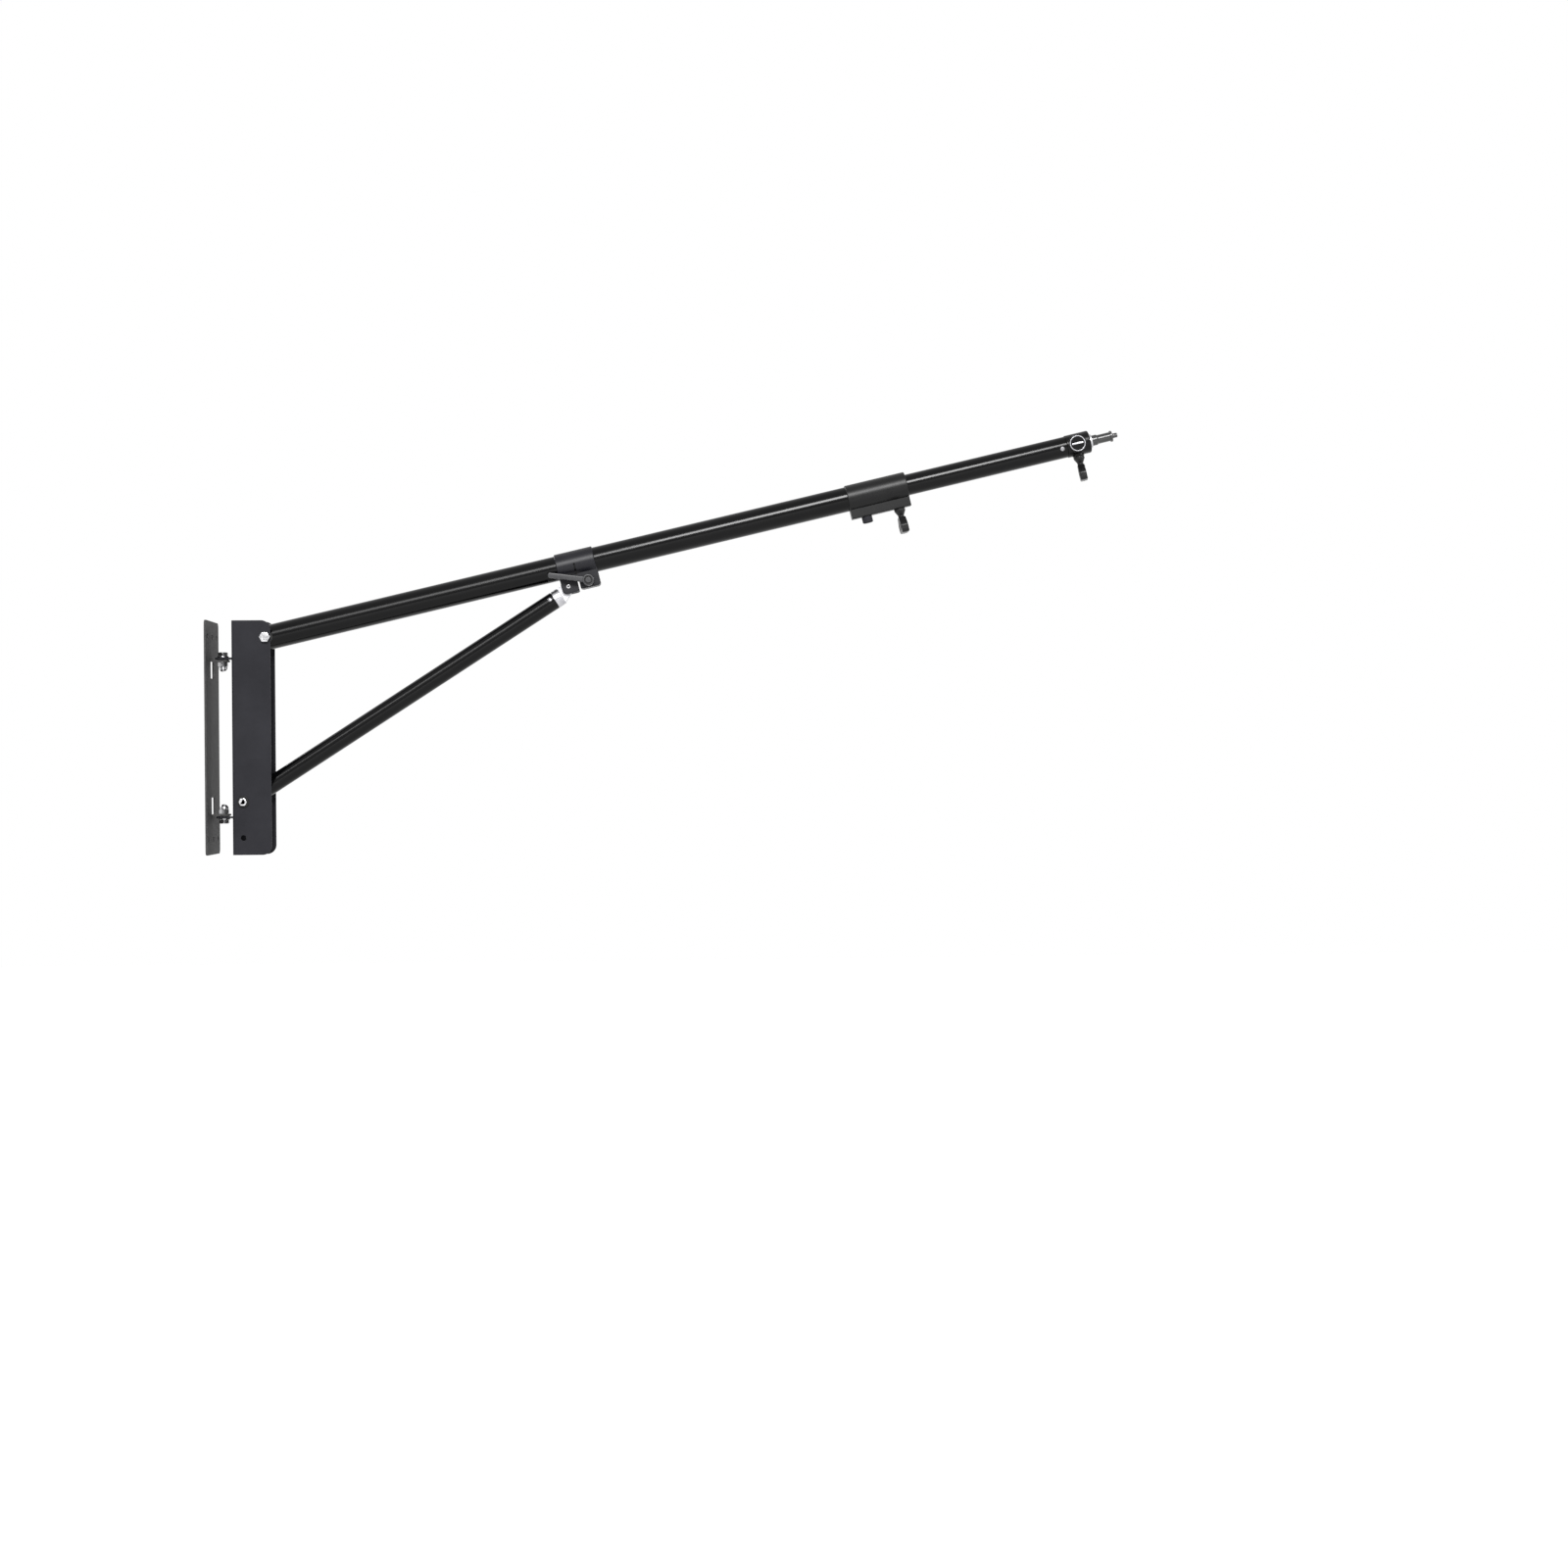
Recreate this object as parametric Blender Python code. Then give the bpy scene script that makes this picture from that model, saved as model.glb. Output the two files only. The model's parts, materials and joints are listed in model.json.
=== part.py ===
"""Wall boom arm for a studio light, in metres, +Z up.

A steel plate screws to a wall. A channel bracket swivels on the plate's two folded tabs. A boom tube
tilts between the bracket's flanges and is held up by a brace, whose upper end is pinned to a collar
that slides on the boom and clamps with a lever. An extension tube telescopes out of the boom, and its
head holds a stud for the light. The origin is the middle of the plate's back, on the wall, and +X
points out from the wall.
"""

import math

import bmesh
import bpy
from mathutils import Euler, Matrix, Vector

GAP = 0.0003
WELD = 1e-6

# Smoothness of round shapes
TUBE_STEPS = 32
SMALL_STEPS = 20
CORNER_STEPS = 4

# Sheet metal of the plate and the bracket
SHEET = 0.0025
FOLD_RADIUS = 0.001
PUNCH_CLEARANCE = 0.0007

# Wall plate
PLATE_WIDTH = 0.104
PLATE_HEIGHT = 0.3275
PLATE_CORNER = 0.007
WALL_HOLE_RADIUS = 0.00375
WALL_HOLE_SPREAD = 0.037
WALL_HOLE_INSET = 0.0218
TAB_INSET = 0.05575
TAB_WIDTH = 0.024
TAB_REACH = 0.026
TAB_CORNER = 0.005

# Swivel joints
SWIVEL_FROM_WALL = 0.0177
SWIVEL_WASHER_THICKNESS = 0.0005
SWIVEL_WASHER_RADIUS = 0.008
HEAD_WASHER_THICKNESS = 0.0016
DOME_NUT_HEIGHT = 0.0135
DOME_NUT_HEX_HEIGHT = 0.0065
DOME_NUT_ROOM = 0.003

# Threaded fasteners by their nominal radius, with the width across flats and the head's height
M8_RADIUS, M8_FLATS, M8_HEAD, M8_NUT = 0.004, 0.013, 0.0053, 0.0070
M6_RADIUS, M6_FLATS, M6_HEAD, M6_NUT = 0.003, 0.010, 0.0040, 0.0050
M5_RADIUS, M5_FLATS, M5_HEAD, M5_NUT = 0.0025, 0.008, 0.0022, 0.0035
BOLT_CLEARANCE = 0.0003
BOLT_PROUD = 0.001

# Swivel bracket
BRACKET_BACK = 0.0326
BRACKET_DEPTH = 0.0543
BRACKET_WIDTH = 0.044
BRACKET_PAST_PLATE = 0.00045
BRACKET_HEIGHT = PLATE_HEIGHT + 2 * BRACKET_PAST_PLATE
FLANGE_CORNER = 0.013
LUG_WIDTH = 0.022
LUG_PAST_AXIS = 0.011
BOOM_PIVOT_FROM_FRONT = 0.0074
BOOM_PIVOT_FROM_TOP = 0.0237
BRACE_PIVOT_FROM_BACK = 0.0151
BRACE_PIVOT_FROM_BOTTOM = 0.0742
SPARE_HOLE_FROM_BOTTOM = 0.0239
SPARE_HOLE_RADIUS = 0.004
BOOM_WASHER_RADIUS = 0.010
BRACE_WASHER_RADIUS = 0.008
BRACE_WASHER_THICKNESS = 0.0012
BRACE_SPACER_RADIUS = 0.005

# Boom tube
BOOM_TILT = math.radians(13.25)
BOOM_RADIUS = 0.0175
BOOM_WALL = 0.0012
BOOM_BEHIND_PIVOT = 0.022
BOOM_END = 0.9212
ROOT_CAP_THICKNESS = 0.003
ROOT_PLUG_LENGTH = 0.044

# Extension collar at the boom's end
EXTENSION_COLLAR_START = 0.8410
EXTENSION_COLLAR_LIP = 0.0064
EXTENSION_COLLAR_RADIUS = 0.0192
EXTENSION_COLLAR_END_ROUND = 0.0012
RAIL_HALF_WIDTH = 0.009
RAIL_DEPTH = 0.0300
RAIL_CORNER = 0.002
FIXING_BOLT_AT = 0.8627
FIXING_HEAD_RADIUS = 0.0075
FIXING_HEAD_HEIGHT = 0.0092
FIXING_SOCKET_FLATS = 0.006
FIXING_SOCKET_DEPTH = 0.004
EXTENSION_KNOB_AT = 0.9106
BUSH_START = 0.872

# Extension tube
EXTENSION_RADIUS = 0.015
EXTENSION_WALL = 0.0012
EXTENSION_START = 0.334
EXTENSION_END = 1.1628
TAIL_CAP_LENGTH = 0.012
TAIL_PLUG_LENGTH = 0.026

# Knobs, both the same
KNOB_BOSS_RADIUS = 0.008
KNOB_BOSS_HEIGHT = 0.0095
KNOB_NECK_RADIUS = 0.0045
KNOB_WING_START = 0.0125
KNOB_END = 0.0352
KNOB_WING_THICKNESS = 0.0105
KNOB_WAIST_WIDTH = 0.017
KNOB_WING_WIDTH = 0.038
KNOB_CORNER = 0.005
KNOB_BORE_DEPTH = 0.022
PAD_THICKNESS = 0.0017
PAD_RADIUS = 0.0036

# Slide collar, from the brace pin
COLLAR_RADIUS = 0.0196
COLLAR_BEHIND_PIN = 0.0103
COLLAR_AHEAD_OF_PIN = 0.0446
COLLAR_CHAMFER = 0.0012
COLLAR_SLIT_AT = 0.0152
COLLAR_SLIT_WIDTH = 0.0026
PIN_BELOW_AXIS = 0.029
PIN_LUG_BOTTOM = 0.0394
PIN_LUG_HALF_WIDTH = 0.0125
PIN_RECESS_RADIUS = 0.0044
PIN_RECESS_DEPTH = 0.0018
CLAMP_LUG_BOTTOM = 0.0371
CLAMP_LUG_HALF_WIDTH = 0.0135
CLAMP_LUG_FRONT = 0.0456
CLAMP_SPLIT = 0.0025
CLAMP_BOLT_AHEAD = 0.0294
CLAMP_BOLT_BELOW = 0.0276
LUG_ROUND = 0.005

# Clamp lever
LEVER_HUB_RADIUS = 0.0080
LEVER_HUB_OUT = 0.027
LEVER_ARM_IN = 0.0203
LEVER_ARM_OUT = 0.0262
LEVER_LENGTH = 0.0572
LEVER_ANGLE = math.radians(159.6)
LEVER_ROOT_HALF = 0.0040
LEVER_TIP_HALF = 0.0036
LEVER_BORE_DEPTH = 0.0100
LEVER_SCREW_RADIUS = 0.0042
LEVER_SCREW_DEPTH = 0.0016

# Brace
BRACE_LENGTH = 0.5456
BRACE_RADIUS = 0.0125
BRACE_WALL = 0.0015
BRACE_PIN_RISE = 0.005
BRACE_PLUG_RING = 0.0112
BRACE_PLUG_INSIDE = 0.026
BRACE_TONGUE = 0.0151
BRACE_TONGUE_THICKNESS = 0.012
BRACE_EYE_RADIUS = 0.0084
FOOT_TONGUE = 0.0175
FOOT_EYE_RADIUS = 0.0064
FOOT_SLOT_WALL = 0.003
FOOT_SLOT_EASE = 0.0006
BRACE_RIVET_INSET = 0.0055
BRACE_RIVET_TURN = math.radians(17)

# How far the boom tilts each way
TILT_RANGE = math.radians(20)

# Tip head and stud
HEAD_RADIUS = 0.0159
HEAD_END = 1.1970
HEAD_END_ROUND = 0.0015
HEAD_PLUG_LENGTH = 0.034
HEAD_SOCKET_DEPTH = 0.046
STUD_AXIS_KNOB_AT = 1.1776
TIP_SEAT_RADIUS = 0.0085
TIP_SEAT_OUT = 0.0169
CAP_BOSS_RADIUS = 0.0128
CAP_BOSS_OUT = 0.0168
CAP_RADIUS = 0.0114
CAP_THICKNESS = 0.0022
CAP_RIM = 0.0016
CAP_POCKET = 0.0009
CAP_BAR_WIDTH = 0.0028
CAP_BAR_LENGTH = 0.0145
CAP_BAR_TURN = math.radians(5.5)
STUD_RADIUS = 0.00794
STUD_FLANGE_RADIUS = 0.0097
STUD_FLANGE_END = 1.2004
STUD_SHOULDER_END = 1.2078
STUD_SHOULDER_RADIUS = 0.0075
STUD_WAIST_RADIUS = 0.0064
STUD_WAIST_START = 1.2096
STUD_WAIST_END = 1.2278
STUD_LIP_END = 1.2304
STUD_TIP_RADIUS = 0.0035
STUD_TIP_END = 1.2382
HEAD_RIVET_AT = 1.1550
HEAD_RIVET_TURN = math.radians(10)

# Blind rivets
RIVET_HEAD_RADIUS = 0.0034
RIVET_HEAD_HEIGHT = 0.0012
RIVET_RADIUS = 0.0016
RIVET_LENGTH = 0.005

# Places that follow from the sizes above
TAB_HEIGHT = PLATE_HEIGHT / 2 - TAB_INSET
BOOM_PIVOT = Vector((BRACKET_BACK + BRACKET_DEPTH - BOOM_PIVOT_FROM_FRONT, 0,
                     BRACKET_HEIGHT / 2 - BOOM_PIVOT_FROM_TOP))
BRACE_PIVOT = Vector((BRACKET_BACK + BRACE_PIVOT_FROM_BACK, 0,
                      -BRACKET_HEIGHT / 2 + BRACE_PIVOT_FROM_BOTTOM))
SPARE_HOLE = Vector((BRACE_PIVOT.x, 0, -BRACKET_HEIGHT / 2 + SPARE_HOLE_FROM_BOTTOM))
FLANGE_OUT = BRACKET_WIDTH / 2
FLANGE_IN = FLANGE_OUT - SHEET
BOOM_BORE = BOOM_RADIUS - BOOM_WALL
EXTENSION_BORE = EXTENSION_RADIUS - EXTENSION_WALL
BRACE_BORE = BRACE_RADIUS - BRACE_WALL
COLLAR_BORE = BOOM_RADIUS + GAP
EXTENSION_COLLAR_END = BOOM_END + GAP + EXTENSION_COLLAR_LIP

# Turns that point a piece built along +X another way
TO_RIGHT = (0, 0, math.pi / 2)
TO_LEFT = (0, 0, -math.pi / 2)
TO_DOWN = (0, math.pi / 2, 0)
TO_UP = (0, -math.pi / 2, 0)
HEAD_RIVET_TURNS = {"near": (0, HEAD_RIVET_TURN, -math.pi / 2), "far": (0, -HEAD_RIVET_TURN, math.pi / 2)}


def boom_direction(tilt):
    return Vector((math.cos(tilt), 0, math.sin(tilt)))


def boom_normal(tilt):
    return Vector((-math.sin(tilt), 0, math.cos(tilt)))


def pin_place(tilt, collar_at):
    """Where the brace pin is for a tilt and a place of the collar along the boom."""
    return BOOM_PIVOT + collar_at * boom_direction(tilt) - PIN_BELOW_AXIS * boom_normal(tilt)


def collar_place(tilt):
    """How far along the boom the brace holds the collar at a tilt."""
    between = BOOM_PIVOT - BRACE_PIVOT
    across = between.dot(boom_normal(tilt)) - PIN_BELOW_AXIS
    return -between.dot(boom_direction(tilt)) + math.sqrt(BRACE_LENGTH**2 - across**2)


def brace_turn(tilt):
    """The brace's own tilt where the boom has a tilt."""
    line = pin_place(tilt, collar_place(tilt)) - BRACE_PIVOT
    return math.atan2(line.z, line.x) - math.asin(BRACE_PIN_RISE / BRACE_LENGTH)


def over_the_tilt_range(place):
    """How much a place or a turn changes for each radian that the boom tilts."""
    return (place(BOOM_TILT + TILT_RANGE) - place(BOOM_TILT - TILT_RANGE)) / (2 * TILT_RANGE)


COLLAR_AT = collar_place(BOOM_TILT)
BRACE_PIN = pin_place(BOOM_TILT, COLLAR_AT)
BRACE_TILT = brace_turn(BOOM_TILT)
FOOT_AT = -math.sqrt(BRACE_LENGTH**2 - BRACE_PIN_RISE**2)

# What follows the boom's tilt, as evenly as a coupled joint does: the collar in metres and the brace in radians
COLLAR_PER_RADIAN = round(over_the_tilt_range(collar_place), 3)
BRACE_PER_RADIAN = round(over_the_tilt_range(brace_turn) - 1, 2)


def foot_bolt_shift(turn):
    """How far the pivot bolt moves in the foot, along and across the brace, when the boom tilts by turn."""
    tilt = BOOM_TILT + turn
    pin = pin_place(tilt, COLLAR_AT + COLLAR_PER_RADIAN * turn)
    brace_tilt = BRACE_TILT + turn + BRACE_PER_RADIAN * turn
    along, across = boom_direction(brace_tilt), boom_normal(brace_tilt)
    foot = pin + FOOT_AT * along - BRACE_PIN_RISE * across
    shift = BRACE_PIVOT - foot
    return shift.dot(along), shift.dot(across)


def clear_scene():
    for thing in list(bpy.data.objects):
        bpy.data.objects.remove(thing, do_unlink=True)


def paint(name, colour, roughness, metallic):
    material = bpy.data.materials.new(name)
    material.use_nodes = True
    shader = material.node_tree.nodes["Principled BSDF"]
    shader.inputs["Base Color"].default_value = (*colour, 1)
    shader.inputs["Roughness"].default_value = roughness
    shader.inputs["Metallic"].default_value = metallic
    return material


def arc(centre, radius, start, end, steps=CORNER_STEPS):
    """Points on an arc from one angle in degrees to another."""
    turns = [math.radians(start + (end - start) * i / steps) for i in range(steps + 1)]
    return [(centre[0] + radius * math.cos(t), centre[1] + radius * math.sin(t)) for t in turns]


def rounded(corners, steps=CORNER_STEPS):
    """A closed outline through (x, y, radius) corners, each rounded by its radius."""
    points = []
    for i, (x, y, radius) in enumerate(corners):
        here = Vector((x, y))
        back = (Vector(corners[i - 1][:2]) - here).normalized()
        ahead = (Vector(corners[(i + 1) % len(corners)][:2]) - here).normalized()
        if radius == 0:
            points.append((x, y))
            continue
        half = back.angle(ahead) / 2
        centre = here + (back + ahead).normalized() * radius / math.sin(half)
        first = here + back * radius / math.tan(half) - centre
        last = here + ahead * radius / math.tan(half) - centre
        start = math.atan2(first.y, first.x)
        sweep = math.remainder(math.atan2(last.y, last.x) - start, math.tau)
        points += arc(centre, radius, math.degrees(start), math.degrees(start + sweep), steps)
    return points


def hull(circles, steps=SMALL_STEPS):
    """The outline of a band stretched round (x, y, radius) circles."""
    points = set()
    for x, y, radius in circles:
        for px, py in arc((x, y), radius, 0, 360, steps):
            points.add((round(px, 7), round(py, 7)))
    ordered = sorted(points)

    def chain(run):
        side = []
        for p in run:
            while len(side) > 1 and ((side[-1][0] - side[-2][0]) * (p[1] - side[-2][1])
                                     <= (side[-1][1] - side[-2][1]) * (p[0] - side[-2][0])):
                side.pop()
            side.append(p)
        return side[:-1]

    return chain(ordered) + chain(ordered[::-1])


def slab(outline, low, high, axis):
    """An outline extruded along an axis: (y, z) along X, (x, z) along Y, (x, y) along Z."""
    place = {"X": lambda a, b: (low, a, b), "Y": lambda a, b: (a, low, b), "Z": lambda a, b: (a, b, low)}[axis]
    along = {"X": (1, 0, 0), "Y": (0, 1, 0), "Z": (0, 0, 1)}[axis]
    bm = bmesh.new()
    face = bm.faces.new([bm.verts.new(place(a, b)) for a, b in outline])
    new = bmesh.ops.extrude_face_region(bm, geom=[face])["geom"]
    moved = [v for v in new if isinstance(v, bmesh.types.BMVert)]
    bmesh.ops.translate(bm, verts=moved, vec=Vector(along) * (high - low))
    bmesh.ops.recalc_face_normals(bm, faces=bm.faces)
    return bm


def turned(profile, steps=SMALL_STEPS, ring=False):
    """A profile of (along, radius) points spun round the X axis. A ring's profile closes on itself."""
    bm = bmesh.new()
    verts = [bm.verts.new((along, radius, 0)) for along, radius in profile]
    edges = [bm.edges.new(pair) for pair in zip(verts, verts[1:])]
    if ring:
        edges.append(bm.edges.new((verts[-1], verts[0])))
    bmesh.ops.spin(bm, geom=verts + edges, cent=(0, 0, 0), axis=(1, 0, 0), angle=math.tau,
                   steps=steps, use_merge=True, use_duplicate=False)
    bmesh.ops.remove_doubles(bm, verts=bm.verts, dist=WELD)
    bmesh.ops.recalc_face_normals(bm, faces=bm.faces)
    return bm


def rod(start, end, radius, steps=SMALL_STEPS):
    return turned([(start, 0), (start, radius), (end, radius), (end, 0)], steps)


def sleeve(start, end, bore, radius, steps=SMALL_STEPS):
    return turned([(start, bore), (start, radius), (end, radius), (end, bore)], steps, ring=True)


def hexagon(flats):
    """A hexagon by its width across flats."""
    return arc((0, 0), flats / math.sqrt(3), 0, 300, 5)


def empty(name, at, parent=None, turn=(0, 0, 0)):
    thing = bpy.data.objects.new(name, None)
    thing.location = at
    thing.rotation_euler = turn
    thing.parent = parent
    bpy.context.scene.collection.objects.link(thing)
    return thing


def piece(name, bm, finish, parent=None, at=(0, 0, 0), turn=(0, 0, 0)):
    """A named object from a mesh, on its parent's frame."""
    mesh = bpy.data.meshes.new(name)
    bm.to_mesh(mesh)
    bm.free()
    mesh.shade_smooth()
    mesh.set_sharp_from_angle(angle=math.radians(35))
    thing = bpy.data.objects.new(name, mesh)
    thing.location = at
    thing.rotation_euler = turn
    thing.parent = parent
    if finish is not None:
        mesh.materials.append(finish)
    bpy.context.scene.collection.objects.link(thing)
    return thing


def shape(target, operation, bm, at=(0, 0, 0), turn=(0, 0, 0)):
    """Joins a mesh to a piece or cuts it out, placed in the piece's own frame. Neighbouring steps of
    one kind share a tool, which keeps the edges of the result clean."""
    bm.transform(Matrix.LocRotScale(Vector(at), Euler(turn), None))
    last = target.modifiers[-1] if target.modifiers else None
    if last and last.operation == operation:
        bm.from_mesh(last.object.data)
        bm.to_mesh(last.object.data)
        bm.free()
        last.use_self = True
        return
    name = f"{target.name}_{operation.lower()}_{len(target.modifiers)}"
    tool = piece(name, bm, None, target)
    tool.hide_render = True
    tool.display_type = "WIRE"
    boolean = target.modifiers.new(name, "BOOLEAN")
    boolean.operation = operation
    boolean.object = tool


def cut(target, bm, at=(0, 0, 0), turn=(0, 0, 0)):
    shape(target, "DIFFERENCE", bm, at, turn)


def join(target, bm, at=(0, 0, 0), turn=(0, 0, 0)):
    shape(target, "UNION", bm, at, turn)


def chamfered_hex(flats, start, end, bevel_at_start):
    """A hexagon head as a spun blank: its corners are turned off at the outer end."""
    corner = flats / math.sqrt(3)
    turned_off = 0.15 * (end - start)
    if bevel_at_start:
        profile = [(start, 0), (start, flats / 2), (start + turned_off, corner), (end + GAP, corner), (end + GAP, 0)]
    else:
        profile = [(start - GAP, 0), (start - GAP, corner), (end - turned_off, corner), (end, flats / 2), (end, 0)]
    return turned(profile)


def hex_bolt(name, radius, flats, head, length, finish, parent, at, turn):
    """A bolt along +X: its head ends at 0 and its shank at length."""
    bolt = piece(name, slab(hexagon(flats), -head, 0, "X"), finish, parent, at, turn)
    shape(bolt, "INTERSECT", chamfered_hex(flats, -head, 0, True))
    tip = radius / 5
    join(bolt, turned([(-head / 2, 0), (-head / 2, radius), (length - tip, radius), (length, radius - tip), (length, 0)]))
    return bolt


def hex_nut(name, radius, flats, height, finish, parent, at, turn):
    """An open nut along +X from 0, chamfered at its outer end."""
    nut = piece(name, slab(hexagon(flats), 0, height, "X"), finish, parent, at, turn)
    shape(nut, "INTERSECT", chamfered_hex(flats, 0, height, False))
    cut(nut, rod(-height, 2 * height, radius + BOLT_CLEARANCE))
    return nut


def washer(name, radius, bore, thickness, finish, parent, at, turn):
    return piece(name, sleeve(0, thickness, bore + BOLT_CLEARANCE, radius), finish, parent, at, turn)


def rivet(name, finish, parent, at, turn):
    """A domed rivet along +X: its head rises behind 0 and its shank goes to the front."""
    dome = [(-RIVET_HEAD_HEIGHT, 0), (-0.9 * RIVET_HEAD_HEIGHT, 0.45 * RIVET_HEAD_RADIUS),
            (-0.5 * RIVET_HEAD_HEIGHT, 0.85 * RIVET_HEAD_RADIUS), (0, RIVET_HEAD_RADIUS)]
    return piece(name, turned(dome + [(0, RIVET_RADIUS), (RIVET_LENGTH, RIVET_RADIUS), (RIVET_LENGTH, 0)], 16),
                 finish, parent, at, turn)


def folded_tab(reach, width, corner, face):
    """A tab folded square out of a sheet, in the sheet's frame: its root runs up inside the sheet, which
    is SHEET thick from x = 0, and its upper face is at the height given."""
    bend = face + FOLD_RADIUS
    centre = (SHEET + FOLD_RADIUS, bend)
    outer = arc(centre, SHEET + FOLD_RADIUS, 180, 270)
    inner = arc(centre, FOLD_RADIUS, 270, 180)
    outline = [(0, bend + SHEET)] + outer + [(reach, face - SHEET), (reach, face)] + inner + [(SHEET, bend + SHEET)]
    bm = slab(outline, -width / 2, width / 2, "Y")
    ends = [e for e in bm.edges if all(abs(v.co.x - reach) < WELD for v in e.verts)
            and abs(e.verts[0].co.y - e.verts[1].co.y) < WELD]
    bmesh.ops.bevel(bm, geom=ends, offset=corner, offset_type="OFFSET", segments=CORNER_STEPS,
                    profile=0.5, affect="EDGES")
    return bm


def flap_length(reach):
    """The length of flat sheet that a folded tab was punched from."""
    return reach - SHEET - FOLD_RADIUS + math.pi / 2 * (FOLD_RADIUS + SHEET / 2)


def punched_slot(reach, width, face):
    """The slot that a folded tab leaves in its sheet."""
    top = face + FOLD_RADIUS
    bottom = top - flap_length(reach) - PUNCH_CLEARANCE
    half = width / 2 + PUNCH_CLEARANCE
    corner = 0.0015
    outline = rounded([(-half, bottom, corner), (half, bottom, corner), (half, top, 0), (-half, top, 0)], 3)
    return slab(outline, -SHEET, 2 * SHEET, "X")


def turned_over(bm, side):
    """The mesh as it is on the upper side, or turned over about the X axis for the lower one."""
    if side < 0:
        bm.transform(Matrix.Diagonal((1, -1, -1, 1)))
    return bm


def facing_wall(bm, back):
    """A shape of the plate's frame, turned round to grow towards the wall out of a sheet that ends at back."""
    bm.transform(Matrix.Translation((back, 0, 0)) @ Matrix.Diagonal((-1, -1, 1, 1)))
    return bm


TAB_FACE = TAB_HEIGHT + SHEET / 2
LUG_FACE = TAB_FACE + 2 * GAP + SWIVEL_WASHER_THICKNESS + SHEET


def make_wall_plate(black_steel):
    half_width, half_height = PLATE_WIDTH / 2, PLATE_HEIGHT / 2
    outline = rounded([(-half_width, -half_height, PLATE_CORNER), (half_width, -half_height, PLATE_CORNER),
                       (half_width, half_height, PLATE_CORNER), (-half_width, half_height, PLATE_CORNER)])
    plate = piece("wall_plate", slab(outline, 0, SHEET, "X"), black_steel)
    for side in (1, -1):
        cut(plate, turned_over(punched_slot(TAB_REACH, TAB_WIDTH, TAB_FACE), side))
    for side in (1, -1):
        join(plate, turned_over(folded_tab(TAB_REACH, TAB_WIDTH, TAB_CORNER, TAB_FACE), side))
    for side in (1, -1):
        cut(plate, rod(TAB_HEIGHT - 2 * SHEET, TAB_HEIGHT + 2 * SHEET, M8_RADIUS + BOLT_CLEARANCE),
            (SWIVEL_FROM_WALL, 0, 0), TO_UP if side > 0 else TO_DOWN)
        for across in (-WALL_HOLE_SPREAD, 0, WALL_HOLE_SPREAD):
            cut(plate, rod(-SHEET, 2 * SHEET, WALL_HOLE_RADIUS),
                (0, across, side * (half_height - WALL_HOLE_INSET)))


def make_bracket(black_steel, swivel):
    """The channel, in the frame of the swivel axis."""
    back = BRACKET_BACK - SWIVEL_FROM_WALL
    front, out, bend = back + BRACKET_DEPTH, FLANGE_OUT, SHEET + FOLD_RADIUS
    channel = rounded([(back, -out, bend), (front, -out, 0), (front, -FLANGE_IN, 0),
                       (back + SHEET, -FLANGE_IN, FOLD_RADIUS), (back + SHEET, FLANGE_IN, FOLD_RADIUS),
                       (front, FLANGE_IN, 0), (front, out, 0), (back, out, bend)])
    top = BRACKET_HEIGHT / 2
    bracket = piece("swivel_bracket", slab(channel, -top - out, top + out, "Z"), black_steel, swivel)
    side_view = rounded([(back - out, -top, 0), (front, -top, FLANGE_CORNER),
                         (front, top, FLANGE_CORNER), (back - out, top, 0)], 8)
    shape(bracket, "INTERSECT", slab(side_view, -2 * out, 2 * out, "Y"))
    reach = back + SHEET + LUG_PAST_AXIS
    for side in (1, -1):
        cut(bracket, turned_over(facing_wall(punched_slot(reach, LUG_WIDTH, LUG_FACE), back + SHEET), side))
    for side in (1, -1):
        join(bracket, turned_over(facing_wall(folded_tab(reach, LUG_WIDTH, 0.9 * LUG_PAST_AXIS, LUG_FACE),
                                              back + SHEET), side))
    for side in (1, -1):
        cut(bracket, rod(LUG_FACE - 2 * SHEET, LUG_FACE + SHEET, M8_RADIUS + BOLT_CLEARANCE),
            (0, 0, 0), TO_UP if side > 0 else TO_DOWN)
    for place, radius in ((BOOM_PIVOT, M8_RADIUS + BOLT_CLEARANCE), (BRACE_PIVOT, M6_RADIUS + BOLT_CLEARANCE),
                          (SPARE_HOLE, SPARE_HOLE_RADIUS)):
        cut(bracket, rod(-2 * out, 2 * out, radius), place - Vector((SWIVEL_FROM_WALL, 0, 0)), TO_RIGHT)


def dome_nut(name, finish, at, turn):
    """A closed nut along +X from 0, its hexagon first and its dome after."""
    nut = piece(name, slab(hexagon(M8_FLATS), 0, DOME_NUT_HEX_HEIGHT, "X"), finish, None, at, turn)
    shape(nut, "INTERSECT", chamfered_hex(M8_FLATS, 0, DOME_NUT_HEX_HEIGHT, False))
    dome_radius = 0.46 * M8_FLATS
    start = DOME_NUT_HEX_HEIGHT / 2
    shoulder = DOME_NUT_HEIGHT - dome_radius
    dome = arc((shoulder, 0), dome_radius, 90, 0, 6)
    join(nut, turned([(start, 0), (start, dome_radius)] + dome[:-1] + [(DOME_NUT_HEIGHT, 0)]))
    cut(nut, rod(-M8_NUT, DOME_NUT_HEIGHT - DOME_NUT_ROOM, M8_RADIUS + BOLT_CLEARANCE))


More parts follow.
